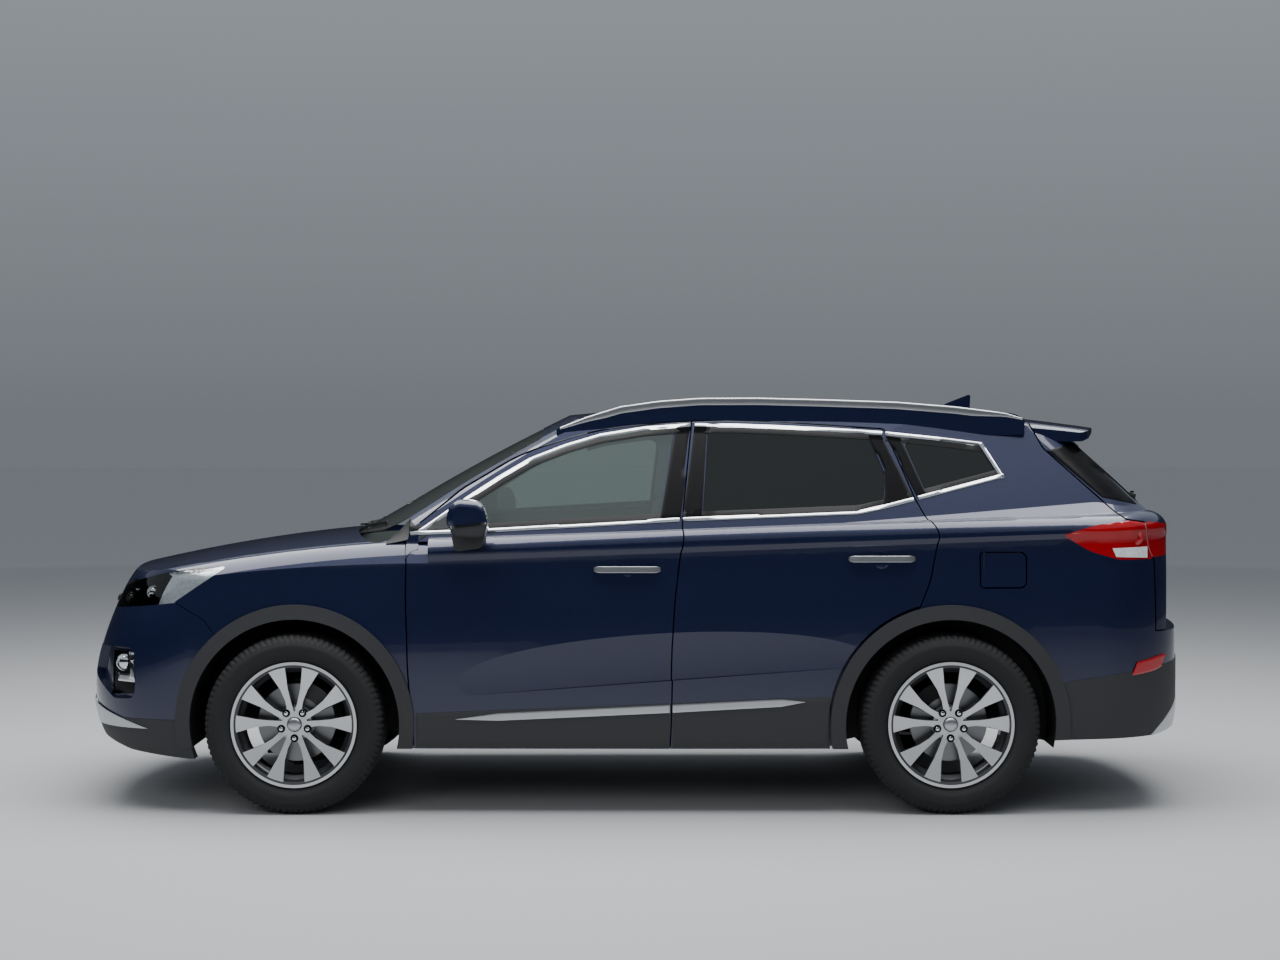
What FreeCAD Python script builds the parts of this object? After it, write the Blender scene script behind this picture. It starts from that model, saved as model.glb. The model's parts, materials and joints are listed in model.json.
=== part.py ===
import FreeCAD, Part
import math, os, time
from FreeCAD import Vector as V

# Crossover SUV. Millimetres, nose toward -X, tail toward +X, left side toward -Y,
# road at Z = 0, X = 0 and Y = 0 in the middle of the overall box.
os.makedirs("parts", exist_ok=True)
START = time.time()

# main places and sizes
FRONT_AXLE = -1400.0
WHEELBASE = 2700.0
REAR_AXLE = FRONT_AXLE + WHEELBASE
TRACK = 1620.0
TYRE_R = 370.5
TYRE_W = 235.0
BEAD_R = 241.0
FLANGE_R = 259.0
RIM_W = 216.0
ARCH_R = 440.0          # panel opening
TRIM_IN_R = 433.0       # arch cladding
TRIM_OUT_R = 493.0
TRIM_T = 12.0
WELL_FRONT_Y = 460.0    # inner faces of the wheel wells
WELL_REAR_Y = 655.0
GAP = 6.0               # round every panel that moves
SEAM = 3.0              # shut line between fixed panels
SCREEN_GAP = 14.0       # bonnet to windscreen
FIT = 0.3               # seat of a curved piece on another
SILL_Z = 270.0

# wall layers measured in from the outer skin: lower body, glasshouse, under the roof
DOOR_LOW, DOOR_TOP, DOOR_ROOF = 75.0, 48.0, 48.0
WALL_LOW, WALL_TOP, WALL_ROOF = 125.0, 100.0, 60.0
WING_T = 45.0
BONNET_T = 32.0
BUMPER_T = 55.0
GATE_LOW, GATE_TOP, GATE_ROOF = 70.0, 50.0, 45.0
ROOF_T = 30.0
ROOF_Y = 600.0          # joint between roof and body side, under the rail
GLASS_IN, GLASS_T = 5.0, 5.0
SWING = 0.30            # door edges lean by this, so that a door swings clear

# tailgate hinge: the panel edge in front of the tailgate is an arc about the pin
GATE_PIN_X, GATE_PIN_Z, GATE_PIN_R = 1610.0, 1612.0, 7.0
GATE_EDGE_R = 63.0
GATE_PIN_Y = 430.0
ARM_T = 12.0            # thickness of the goose-neck arms

# lower body: rings of eight tangent arcs, each in a plane that tilts with x
#        z    tilt   nose  tail half r_nose r_front r_side x_side r_rear r_tail
LOWER = [( 200, .000, -2200, 2220, 860, 2400, 420, 60000, 200, 360, 2600),
         ( 300, .000, -2320, 2330, 905, 2400, 440, 60000, 200, 380, 2600),
         ( 450, .000, -2356, 2356, 918, 2400, 450, 60000, 200, 380, 2600),
         ( 660, .020, -2345, 2356, 925, 2400, 450, 60000, 200, 380, 2600),
         ( 850, .030, -2290, 2345, 915, 2400, 450, 60000, 200, 380, 2600),
         (1071, .035, -2165, 2320, 893, 2400, 420, 60000, 200, 360, 2600),
         (1093, .035, -2150, 2320, 905, 2400, 420, 60000, 200, 360, 2600),
         (1125, .035, -2130, 2310, 902, 2400, 400, 50000, 200, 350, 2600),
         (1150, .035, -2110, 2290, 888, 2400, 380, 30000, 300, 340, 2600),
         (1168, .035, -2080, 2260, 850, 2400, 360, 16000, 400, 320, 2600),
         (1240, .035, -2000, 2200, 775, 2400, 330, 15000, 400, 300, 2600)]
LOWER_BANDS = ((0, 1, 2, 3, 4, 5), (5, 6), (6, 7, 8, 9), (9, 10))
# glasshouse: same columns
GLASSHOUSE = [(1120, 0, -1250, 2292, 889, 1870, 120, 14000, 400, 200, 2500),
              (1200, 0, -1106, 2262, 850, 1870, 120, 14000, 400, 200, 2500),
              (1400, 0,  -760, 2070, 752, 1870, 130, 14000, 400, 190, 2500),
              (1600, 0,  -380, 1850, 655, 1870, 140, 14000, 400, 180, 2500),
              (1800, 0,    20, 1600, 560, 1870, 140, 14000, 400, 170, 2500)]
#          x0    z0  r_len r_crown flat edge dip reach  x1     x2   depth
BONNET = (-615, 1171, 6909, 8000, 770, 120, 60, 1050, -2700, -560, 1100)
ROOF   = ( 640, 1690, 9500, 7000, 560,  90, 62, 1050, -1300, 2300,  700)
TAIL_FACE = (2298.0, 3500.0)     # tailgate face above the bumper shelf: x and plan radius
SHELF_Z = 746.0

# side-view outlines: x, z, corner radius
UNDERSIDE = [(-2600, 345, 0), (-2360, 335, 0), (-2230, 290, 100), (-2100, 252, 100), (-1850, 225, 0),
             (-1400, 225, 0), (-990, SILL_Z, 0), (880, SILL_Z, 0), (1300, 290, 0), (1770, 306, 0),
             (2150, 315, 100), (2290, 340, 100), (2600, 390, 0), (2600, 100, 0), (-2600, 100, 0)]
DOORS = [(-897, 262, 8), (-930, 600, 1500), (-934, 880, 1500), (-925, 1080, 600), (-912, 1160, 12),
         (-700, 1331, 700), (-448, 1485, 900), (-150, 1578, 1300), (231, 1620, 2500), (650, 1608, 4000),
         (1052, 1582, 14), (1168, 1294, 300), (1250, 1147, 120), (1220, 966, 300), (1146, 802, 0),
         (1146, 262, 0)]
B_LINE = [(255, 1700, 0), (196, 1200, 1500), (155, 800, 1500), (149, 200, 0)]
# door hinge axes: x, y, radius kept on the inboard side ahead of the axis
HINGE_F, HINGE_R = (-894.0, -910.0, 60.0), (194.0, -915.0, 65.0)
FRAME_Z, PILLAR_X = 1150.0, -200.0      # foot of the window frames, rear end of the bare front pillar
FRONT_WAY = [(-815, 425, 60), (-832, 1090, 60), (-655, 1268, 500), (-425, 1412, 600), (-150, 1510, 800),
             (105, 1545, 40), (60, 1150, 500), (50, 425, 60)]
REAR_WAY = [(262, 425, 60), (262, 1150, 500), (318, 1548, 40), (650, 1545, 3000), (985, 1520, 40),
            (1090, 1270, 200), (1120, 1120, 120), (1085, 960, 100), (1010, 860, 60), (760, 560, 300),
            (700, 425, 60)]
FRONT_GLASS = [(-872, 1163, 14), (-672, 1311, 600), (-430, 1453, 800), (-140, 1550, 1200), (166, 1593, 14),
               (104, 1213, 14), (-638, 1172, 2500)]
REAR_GLASS = [(280, 1220, 14), (308, 1601, 14), (620, 1588, 3000), (978, 1563, 30), (1046, 1392, 150),
              (1028, 1256, 30), (925, 1247, 900)]
QUARTER_GLASS = [(1118, 1550, 30), (1212, 1318, 25), (1345, 1342, 900), (1522, 1388, 12), (1448, 1516, 30)]
WING = [(-2400, 1250, 0), (-2400, 760, 0), (-1895, 866, 0), (-1775, 800, 0), (-1700, 700, 0), (-1500, 300, 0),
        (-1500, 180, 0), (-903, 180, 0), (-936, 600, 1500), (-940, 880, 1500), (-931, 1080, 600),
        (-905, 1180, 0), (-980, 1250, 0)]
HEADLAMP = [(-1676, 1022, 6), (-1925, 996, 900), (-2140, 936, 500), (-2262, 862, 15), (-2190, 832, 60),
            (-1905, 868, 60)]
FRONT_BUMPER = [(-2500, 885, 0), (-2262, 885, 0), (-2190, 832, 60), (-1897, 868, 0), (-1777, 800, 0), (-1700, 700, 0),
                (-1500, 300, 0), (-1500, 150, 0), (-2500, 150, 0)]
TAIL_LAMP = [(1758, 1150, 8), (1905, 1192, 300), (2055, 1209, 60), (2111, 1199, 4), (2133, 1094, 60),
             (2158, 1046, 4), (2000, 1046, 120), (1880, 1080, 200)]
TAILGATE = [(1652, 1900, 0), (1652, 1640, 60), (1722, 1505, 60), (1942, 1300, 60), (2030, 1215, 40), (2118, 1203, 8),
            (2139, 1094, 60), (2164, 1040, 30), (2164, 752, 0), (2600, 752, 0), (2600, 1900, 0)]
REAR_BUMPER = [(2700, SHELF_Z, 0), (2160, SHELF_Z, 0), (2160, 1042, 0), (2000, 1042, 120), (1890, 1052, 0), (1675, 840, 0),
               (1560, 640, 0), (1400, 300, 0), (1400, 150, 0), (2700, 150, 0)]
# front-view and rear-view outlines: y, z, corner radius
SCREEN = [(-700, 1165, 60), (-604, 1545, 60), (-300, 1583, 1500), (300, 1583, 1500), (604, 1545, 60),
          (700, 1165, 60), (300, 1127, 1500), (-300, 1127, 1500)]
BACKLIGHT = [(-650, 1195, 50), (-560, 1510, 50), (560, 1510, 50), (650, 1195, 50), (300, 1160, 1200), (-300, 1160, 1200)]
# plan outline of the bonnet: x, y, corner radius
BONNET_PLAN = [(-1050, 792, 10), (-1650, 802, 900), (-2000, 735, 500), (-2215, 560, 300), (-2268, 300, 900),
               (-2276, 0, 0)]

GATE_LAMP = [(2090, 1196, 0), (2135, 1202, 4), (2290, 1180, 60), (2340, 1100, 30), (2300, 1062, 30), (2150, 1052, 4),
             (2090, 1100, 0)]
GATE_LAMP_Y, GATE_LAMP_T = 440.0, 30.0
# ledge pressed into the doors: ends and height, depth, section radius and length radius of the scoop above it
LEDGE_X0, LEDGE_X1 = -870.0, 860.0
LEDGE_Z0, LEDGE_Z1 = 478.0, 606.0
LEDGE_DEEP, LEDGE_R, LEDGE_LONG, LEDGE_SKIN = 13.0, 1300.0, 42000.0, 921.0
# finger recess behind each door handle: x, z, skin half width
HANDLES = [(-30, 1009, 909), (1016, 1052, 898)]
CUP_R, CUP_DEEP = 80.0, 17.0
FOG = [(-2420, 668, 25), (-2082, 680, 25), (-2064, 560, 200), (-2075, 470, 30), (-2170, 462, 40), (-2300, 560, 60)]
FOG_DEEP = 38.0
# spoiler over the rear glass: plan and side outline
SPOILER_PLAN = [(1640, -612, 0), (1915, -604, 60), (2016, -200, 1500), (2016, 200, 1500), (1915, 604, 60),
                (1640, 612, 0)]
SPOILER_SIDE = [(1640, 1750, 0), (2100, 1750, 0), (2100, 1573, 0), (1995, 1573, 20), (1890, 1532, 60), (1640, 1532, 0)]
FLAP = [(1424, 936, 12), (1424, 1076, 12), (1608, 1076, 25), (1608, 936, 25)]
FLAP_T = 10.0

# front view of the nose: grille and lower intake
GRILLE = [(-430, 838, 30), (430, 838, 30), (372, 560, 60), (-372, 560, 60)]
GRILLE_FRAME, GRILLE_BAR, GRILLE_PITCH = 22.0, 14.0, 38.0
INTAKE = [(-560, 430, 30), (560, 430, 30), (500, 330, 40), (-500, 330, 40)]


def corner(c1, r1, cs, rs, rc, sign):
    d1, d2 = r1 - rc, rs - rc
    dx, dy = cs[0] - c1[0], cs[1] - c1[1]
    d = math.hypot(dx, dy)
    a = (d1*d1 - d2*d2 + d*d) / (2*d)
    h = math.sqrt(d1*d1 - a*a)
    bx, by = c1[0] + a*dx/d, c1[1] + a*dy/d
    both = ((bx + h*dy/d, by - h*dx/d), (bx - h*dy/d, by + h*dx/d))
    return max((p for p in both if p[1] > 0 and sign*(p[0] - c1[0]) > 0), key=lambda p: p[1])


def ring(z, tilt, nose, tail, half, r_nose, r_front, r_side, x_side, r_rear, r_tail, grow=0.0):
    """Closed plan outline of eight tangent arcs: nose, front corner, side, rear corner, tail and back."""
    cn = (nose + r_nose, 0.0)
    ct = (tail - r_tail, 0.0)
    cs = (x_side, half - r_side)
    r_nose, r_front, r_side = r_nose + grow, r_front + grow, r_side + grow
    r_rear, r_tail = r_rear + grow, r_tail + grow
    cf = corner(cn, r_nose, cs, r_side, r_front, -1)
    cr = corner(ct, r_tail, cs, r_side, r_rear, +1)

    def angle(p, q):
        return math.atan2(p[1] - q[1], p[0] - q[0])

    def at(c, r, a, s=1):
        x, y = c[0] + r*math.cos(a), c[1] + r*math.sin(a)
        return V(x, s*y, z + tilt*x)

    def arc(c, r, b, f, s=1):
        return Part.Arc(at(c, r, b, s), at(c, r, (b + f)/2, s), at(c, r, f, s)).toShape()

    a1, a2, a3, a4 = angle(cf, cn), angle(cf, cs), angle(cr, cs), angle(cr, ct)
    nose_arc = Part.Arc(at(cn, r_nose, a1, -1), at(cn, r_nose, math.pi), at(cn, r_nose, a1, 1)).toShape()
    tail_arc = Part.Arc(at(ct, r_tail, a4, 1), at(ct, r_tail, 0), at(ct, r_tail, a4, -1)).toShape()
    return Part.Wire([nose_arc, arc(cf, r_front, a1, a2), arc(cs, r_side, a2, a3), arc(cr, r_rear, a3, a4),
                      tail_arc, arc(cr, r_rear, a4, a3, -1), arc(cs, r_side, a3, a2, -1),
                      arc(cf, r_front, a2, a1, -1)])


def lofted(table, bands, grow=0.0):
    rings = [ring(*row, grow=grow) for row in table]
    faces = [Part.Face(rings[0]), Part.Face(rings[-1])]
    for band in bands:
        faces += Part.makeLoft([rings[i] for i in band], False, len(band) == 2).Faces
    shell = Part.makeShell(faces)
    shell.sewShape()
    solid = Part.Solid(shell)
    if solid.Volume < 0:
        solid.reverse()
    return solid


def crowned(x0, z0, r_len, r_crown, flat, edge, dip, reach, x1, x2, depth, drop=0.0):
    """A cross-section with a crown arc, edge arcs and flanks, revolved about a crosswise axis far below."""
    dip = math.radians(dip)
    zc = z0 - r_crown
    a = math.asin(flat / r_crown)
    p1 = V(0, flat, zc + r_crown*math.cos(a))
    ec = (p1.y - edge*math.sin(a), p1.z - edge*math.cos(a))

    def on(t):
        return V(0, ec[0] + edge*math.sin(t), ec[1] + edge*math.cos(t))

    def m(p):
        return V(0, -p.y, p.z)

    p2, mid = on(dip), on((a + dip)/2)
    p3 = V(0, reach, p2.z - (reach - p2.y)*math.tan(dip))
    p4 = V(0, reach, z0 - depth)
    line = Part.LineSegment
    edges = [Part.Arc(m(p1), V(0, 0, z0), p1).toShape(), Part.Arc(p1, mid, p2).toShape(),
             line(p2, p3).toShape(), line(p3, p4).toShape(), line(p4, m(p4)).toShape(),
             line(m(p4), m(p3)).toShape(), line(m(p3), m(p2)).toShape(), Part.Arc(m(p2), m(mid), m(p1)).toShape()]
    face = Part.Face(Part.Wire(edges))
    face.translate(V(x0, 0, -drop))
    axis = V(x0, 0, z0 - r_len - drop)
    b1 = math.degrees(math.asin((x1 - x0)/r_len))
    b2 = math.degrees(math.asin((x2 - x0)/r_len))
    face.rotate(axis, V(0, 1, 0), b1)
    return face.revolve(axis, V(0, 1, 0), b2 - b1)


def rounded(points, place, grow=0.0):
    """Closed wire of lines and tangent arcs through points (u, v, radius)."""
    n = len(points)
    spans = []
    for i, (u, v, r) in enumerate(points):
        (pu, pv, _), (nu, nv, _) = points[i - 1], points[(i + 1) % n]
        a = (pu - u, pv - v)
        b = (nu - u, nv - v)
        la, lb = math.hypot(*a), math.hypot(*b)
        ua, ub = (a[0]/la, a[1]/la), (b[0]/lb, b[1]/lb)
        cosine = max(-1.0, min(1.0, ua[0]*ub[0] + ua[1]*ub[1]))
        half = math.acos(cosine)/2
        if r <= 0 or half > math.radians(89.9):
            spans.append(((u, v), None, (u, v)))
            continue
        t = min(r/math.tan(half), 0.49*la, 0.49*lb)
        r = t*math.tan(half)
        s = (ua[0] + ub[0], ua[1] + ub[1])
        ls = math.hypot(*s)
        d = r/math.sin(half) - r
        spans.append(((u + ua[0]*t, v + ua[1]*t), (u + s[0]/ls*d, v + s[1]/ls*d), (u + ub[0]*t, v + ub[1]*t)))
    edges = []
    for i, (start, mid, end) in enumerate(spans):
        if mid:
            edges.append(Part.Arc(place(*start), place(*mid), place(*end)).toShape())
        nxt = spans[(i + 1) % n][0]
        if math.hypot(nxt[0] - end[0], nxt[1] - end[1]) > 1e-6:
            edges.append(Part.LineSegment(place(*end), place(*nxt)).toShape())
    face = Part.Face(Part.Wire(edges))
    if grow:
        face = Part.Face(face.OuterWire.makeOffset2D(grow))
    return face


def side_prism(points, y0=-1100.0, y1=-300.0, grow=0.0):
    return rounded(points, lambda u, v: V(u, y0, v), grow).extrude(V(0, y1 - y0, 0))


def front_prism(points, x0, x1, grow=0.0):
    return rounded(points, lambda u, v: V(x0, u, v), grow).extrude(V(x1 - x0, 0, 0))


def plan_prism(points, z0, z1, grow=0.0):
    return rounded(points, lambda u, v: V(u, v, z0), grow).extrude(V(0, 0, z1 - z0))


def skin_y(z):
    """Half width of the outer skin at mid length, used to lean the door edges."""
    if z < 1110:
        return 915.0
    if z < 1160:
        return 915.0 - (z - 1110)*0.9
    return 870.0 - (z - 1160)*0.4875


def door_prism(points, grow=0.0):
    """Left door outline as seen from the side, extruded inward and forward by SWING."""
    lean = [(x + SWING*(925.0 - skin_y(z)), z, r) for x, z, r in points]
    y0 = -1020.0
    face = rounded([(x + SWING*(-925.0 - y0), z, r) for x, z, r in lean], lambda u, v: V(u, y0, v), grow)
    return face.extrude(V(-SWING*700.0, 700.0, 0))


def door_scoop():
    """Spindle outside the left doors, cut off level with the ledge: it bites deepest there and fades at both ends."""
    half = LEDGE_R
    thin = LEDGE_R - half*half/(2*LEDGE_LONG)
    arc = Part.Arc(V(-half, 0, thin), V(0, 0, LEDGE_R), V(half, 0, thin)).toShape()
    lines = [Part.LineSegment(V(half, 0, thin), V(half, 0, 0)).toShape(),
             Part.LineSegment(V(half, 0, 0), V(-half, 0, 0)).toShape(),
             Part.LineSegment(V(-half, 0, 0), V(-half, 0, thin)).toShape()]
    face = Part.Face(Part.Wire([arc] + lines))
    face.rotate(V(0, 0, 0), V(1, 0, 0), -90)
    spindle = face.revolve(V(0, 0, 0), V(1, 0, 0), 60)
    spindle.rotate(V(0, 0, 0), V(0, 1, 0), -math.degrees(math.atan2(LEDGE_Z1 - LEDGE_Z0, LEDGE_X1 - LEDGE_X0)))
    spindle.translate(V((LEDGE_X0 + LEDGE_X1)/2, -LEDGE_SKIN + LEDGE_DEEP - LEDGE_R, (LEDGE_Z0 + LEDGE_Z1)/2))
    return spindle


def box(x0, x1, y0, y1, z0, z1):
    return Part.makeBox(x1 - x0, y1 - y0, z1 - z0, V(x0, y0, z0))


def rod(r, x, z, y0, y1):
    return Part.makeCylinder(r, y1 - y0, V(x, y0, z), V(0, 1, 0))


def mirrored(shape):
    return shape.mirror(V(0, 0, 0), V(0, 1, 0))


def both(shape):
    return Part.makeCompound([shape, mirrored(shape)])


def biggest(shape):
    return max(shape.Solids, key=lambda s: s.Volume)


def save(name, shape):
    shape.exportStep("parts/%s.step" % name)
    print("%6.1f s  %-18s %2d solids %9.6f m3 %s" % (time.time() - START, name, len(shape.Solids), shape.Volume/1e9,
          "ok" if shape.isValid() else "BAD"), flush=True)


def save_pair(name, left, right, shape):
    save(name + left, shape)
    save(name + right, mirrored(shape))


# master shapes
LEFT = box(-2600, 2600, -1200, 0, 0, 2000)
bonnet_zone = box(-2700, -850, -1200, 1200, 100, 1400)
under = side_prism(UNDERSIDE, -1200, 1200)
face_x, face_r = TAIL_FACE
tail_cut = box(1900, 2700, -1200, 1200, SHELF_Z, 1140).cut(
    Part.makeCylinder(face_r, 1600, V(face_x - face_r, 0, 200)))


def lower_body(grow=0.0, drop=0.0):
    return lofted(LOWER, LOWER_BANDS, grow).cut(bonnet_zone.cut(crowned(*BONNET, drop=drop)))


def plain_lower(grow):
    return lofted(LOWER, LOWER_BANDS, grow)


def plain_glasshouse(grow):
    return lofted(GLASSHOUSE, ((0, 1, 2, 3, 4),), grow)


def glasshouse(grow=0.0, drop=0.0):
    return plain_glasshouse(grow).common(crowned(*ROOF, drop=drop))


low0 = lower_body()
outer = low0.fuse(glasshouse()).cut([under, tail_cut])
outer_left = outer.common(LEFT)
print("%6.1f s  outer %s" % (time.time() - START, outer.isValid()), flush=True)

front_well = rod(ARCH_R, FRONT_AXLE, TYRE_R, -1100, -WELL_FRONT_Y)
rear_well = rod(ARCH_R, REAR_AXLE, TYRE_R, -1100, -WELL_REAR_Y)
screen_hole = front_prism(SCREEN, -1400, -150)
backlight_hole = front_prism(BACKLIGHT, 1700, 2500)
bonnet_pts = BONNET_PLAN + [(x, -y, r) for x, y, r in reversed(BONNET_PLAN[:-1])]
bonnet_prism = plan_prism(bonnet_pts, 780, 1300)
bonnet_hole = plan_prism(bonnet_pts, 780, 1300, GAP)
lamp_prism = side_prism(HEADLAMP, -1100, -380)
tail_lamp_prism = side_prism(TAIL_LAMP, -1100, -500)
gate_zone = side_prism(TAILGATE, -1100, 1100).cut(rod(GATE_EDGE_R, GATE_PIN_X, GATE_PIN_Z, -1200, 1200))
gate_clear = side_prism(TAILGATE, -1100, 1100, GAP).cut(
    rod(GATE_EDGE_R - GAP, GATE_PIN_X, GATE_PIN_Z, -1200, 1200))
bumper_zone = side_prism(FRONT_BUMPER, -1100, 1100, SEAM)
wing_core = lower_body(-WING_T, BONNET_T)
door_arch = rod(TRIM_OUT_R + 2*GAP, REAR_AXLE, TYRE_R, -1100, -300)
side_arch = rod(TRIM_OUT_R + 0.5*GAP, REAR_AXLE, TYRE_R, -1100, -300)

# doors: the whole wall inside each outline
ahead = [(-1300, 1700, 0)] + [(x - GAP/2, z, r) for x, z, r in B_LINE] + [(-1300, 200, 0)]
behind = [(1600, 1700, 0)] + [(x + GAP/2, z, r) for x, z, r in B_LINE] + [(1600, 200, 0)]
doors = outer_left.common(door_prism(DOORS)).cut(
    [plain_lower(-DOOR_LOW), plain_glasshouse(-DOOR_TOP), box(-1300, 1300, -ROOF_Y - GAP, 0, FRAME_Z, 1800)])
cups = [Part.makeSphere(CUP_R, V(x, CUP_DEEP - half - CUP_R, z)) for x, z, half in HANDLES]
doors = doors.cut([door_scoop()] + cups)


def swing_relief(x, y, r):
    """What has to go from the inboard corner ahead of a hinge axis, so that the door turns in its own opening."""
    return box(x - 200, x, y, y + 200, 0, 1400).cut(Part.makeCylinder(r, 1400, V(x, y, 0)))


door_f = biggest(doors.common(door_prism(ahead)).cut([side_prism(FRONT_GLASS), swing_relief(*HINGE_F)]))
save_pair("door_f", "l", "r", door_f)
door_r = biggest(doors.common(door_prism(behind)).cut([side_prism(REAR_GLASS), door_arch, swing_relief(*HINGE_R)]))
save_pair("door_r", "l", "r", door_r)

# glass: a thin skin of the glasshouse inside each opening
pane = plain_glasshouse(-GLASS_IN).cut(plain_glasshouse(-GLASS_IN - GLASS_T))
save_pair("glass_f", "l", "r", biggest(pane.common(side_prism(FRONT_GLASS))))
save_pair("glass_r", "l", "r", biggest(pane.common(side_prism(REAR_GLASS))))
save("quarter_glass", both(biggest(pane.common(side_prism(QUARTER_GLASS)))))
save("windscreen", biggest(pane.common(screen_hole)))
save("rear_glass", biggest(pane.common(backlight_hole)))

# body side with its door openings, pillars and quarter panel
SIDE = [(-1030, 200, 0), (-1030, 1300, 0), (-400, 1900, 0), (2400, 1900, 0), (2400, 200, 0)]
rebate = door_prism(DOORS, GAP).cut([side_arch, plain_lower(-DOOR_LOW - GAP), plain_glasshouse(-DOOR_TOP - GAP)])
pillar_clear = door_prism(DOORS, GAP).common(box(-1000, PILLAR_X, -1100, -450, FRAME_Z, 1700))
roof_zone = box(-700, TAILGATE[0][0] + 100, -ROOF_Y, ROOF_Y, 1400, 1900).cut(gate_clear)
side = outer_left.common(side_prism(SIDE, -1100, -ROOF_Y + 150)).cut(
    [side_prism(FRONT_WAY), side_prism(REAR_WAY), side_prism(QUARTER_GLASS), rear_well, screen_hole, roof_zone,
     gate_clear, side_prism(REAR_BUMPER)])
side = side.cut([plain_lower(-WALL_LOW), glasshouse(-WALL_TOP, WALL_ROOF), rebate, pillar_clear])
print("%6.1f s  side" % (time.time() - START), flush=True)
side = biggest(side.cut([side_prism(WING).cut(wing_core), front_well, tail_lamp_prism]))
save("body_side_right", mirrored(side))
flap_hole = side_prism(FLAP, -1100, -700, GAP).cut(plain_lower(-60.0))
flap_x, flap_y, flap_pin_r, flap_pin_in = FLAP[0][0] + 12, -886.0, 3.0, 5.0


def flap_pin(r, beyond):
    z0, z1 = FLAP[0][1] - beyond, FLAP[1][1] + beyond
    return Part.makeCylinder(r, z1 - z0, V(flap_x, flap_y, z0))


save("body_side_left", biggest(side.cut([flap_hole, flap_pin(flap_pin_r + FIT, GAP + flap_pin_in + FIT)])))
flap = outer_left.common(side_prism(FLAP, -1100, -700)).cut(plain_lower(-FLAP_T))
save("fuel_flap", biggest(flap.fuse(flap_pin(flap_pin_r, GAP + flap_pin_in))))

# roof with its aerial fin
roof_core = plain_glasshouse(-45.0).common(crowned(*ROOF, drop=ROOF_T))
roof = biggest(outer.common(roof_zone).cut([roof_core, screen_hole]))
lug_x0, lug_x1 = GATE_PIN_X - 18, GATE_PIN_X + 18
lug_y0, lug_y1 = -GATE_PIN_Y - ARM_T/2 - GAP - 18, -GATE_PIN_Y + ARM_T/2 + GAP + 18
slot_y0, slot_y1 = lug_y0 + 18, lug_y1 - 18
lug = box(lug_x0, lug_x1, lug_y0, lug_y1, GATE_PIN_Z - 14, GATE_PIN_Z + 12)
arm_slot = box(lug_x0 - 12, 1700, slot_y0, slot_y1, 1500, GATE_PIN_Z + 15)
gate_pin = rod(GATE_PIN_R, GATE_PIN_X, GATE_PIN_Z, lug_y0, lug_y1)
hinges = [lug, mirrored(lug)]
roof = roof.fuse(hinges).cut([arm_slot, mirrored(arm_slot)]).fuse([gate_pin, mirrored(gate_pin)])
fin_side = [(1368, 1640, 0), (1378, 1690, 60), (1500, 1738, 6), (1496, 1640, 0)]
fin = side_prism(fin_side, -22, 22).cut([crowned(*ROOF, drop=1.0)])
save("roof", roof.fuse(biggest(fin)))

# bonnet, wings, bumpers, lamps
lamp_clear = side_prism(HEADLAMP, -1100, -380, GAP)
bonnet_core = crowned(*BONNET, drop=BONNET_T).common(plain_lower(-BONNET_T))
foot_z, foot_x, foot_r = GLASSHOUSE[0][0], GLASSHOUSE[0][2], GLASSHOUSE[0][5]
screen_foot = Part.makeCylinder(foot_r + SCREEN_GAP, 200, V(foot_x + foot_r, 0, foot_z - 199))
bonnet = outer.common(bonnet_prism).cut(
    [bonnet_core, plain_glasshouse(SCREEN_GAP), screen_foot, lamp_clear, mirrored(lamp_clear)])
save("bonnet", biggest(bonnet.common(box(-2400, -1050, -1000, 1000, 885 + GAP, 1300))))
wing = outer_left.common(side_prism(WING)).cut(
    [wing_core, bumper_zone, bonnet_hole, front_well, lamp_prism, plain_glasshouse(FIT), door_prism(DOORS, GAP)])
save("front_wings", both(biggest(wing)))
bumper_core = plain_lower(-BUMPER_T)
fog_cut = side_prism(FOG, -1100, -480).cut(plain_lower(-FOG_DEEP))
bumper = outer.common(side_prism(FRONT_BUMPER, -1100, 1100)).cut(
    [bumper_core, bonnet_hole.common(box(-2500, -1000, -1000, 1000, 885, 1300)), lamp_prism, mirrored(lamp_prism),
     fog_cut, mirrored(fog_cut), front_well, mirrored(front_well), front_prism(GRILLE, -2500, -2100), front_prism(INTAKE, -2500, -2100)])
save("front_bumper", biggest(bumper))
rear_bumper = outer.common(side_prism(REAR_BUMPER, -1100, 1100)).cut(
    [bumper_core, rear_well, mirrored(rear_well), gate_clear])
save("rear_bumper", biggest(rear_bumper))
save("headlamps", both(biggest(outer_left.common(lamp_prism).cut(plain_lower(-70.0)))))
save("tail_lamps", both(biggest(outer_left.common(tail_lamp_prism).cut([plain_lower(-60.0), gate_clear]))))

# tailgate with its spoiler
gate = outer.common(gate_zone).cut(
    [plain_lower(-GATE_LOW), glasshouse(-GATE_TOP, GATE_ROOF), backlight_hole])
spoiler = plan_prism(SPOILER_PLAN, 1400, 1800).common(side_prism(SPOILER_SIDE, -700, 700)).common(crowned(*ROOF))
gate = gate.fuse(spoiler.common(gate_zone).cut(plain_glasshouse(-GATE_TOP)))
gate_lamp_zone = side_prism(GATE_LAMP, -1100, -GATE_LAMP_Y)
gate_lamps = biggest(outer_left.common(gate_lamp_zone).common(gate_zone).cut(plain_lower(-GATE_LAMP_T)))
save("tailgate_lamps", both(gate_lamps))
px, pz = GATE_PIN_X, GATE_PIN_Z
neck = [(px - 9, pz, 0), (px - 4, pz - 82, 14), (px + 105, pz - 56, 14), (px + 108, pz - 8, 0), (px + 86, pz - 8, 0),
        (px + 84, pz - 38, 8), (px + 20, pz - 62, 4), (px + 9, pz, 0)]
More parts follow.
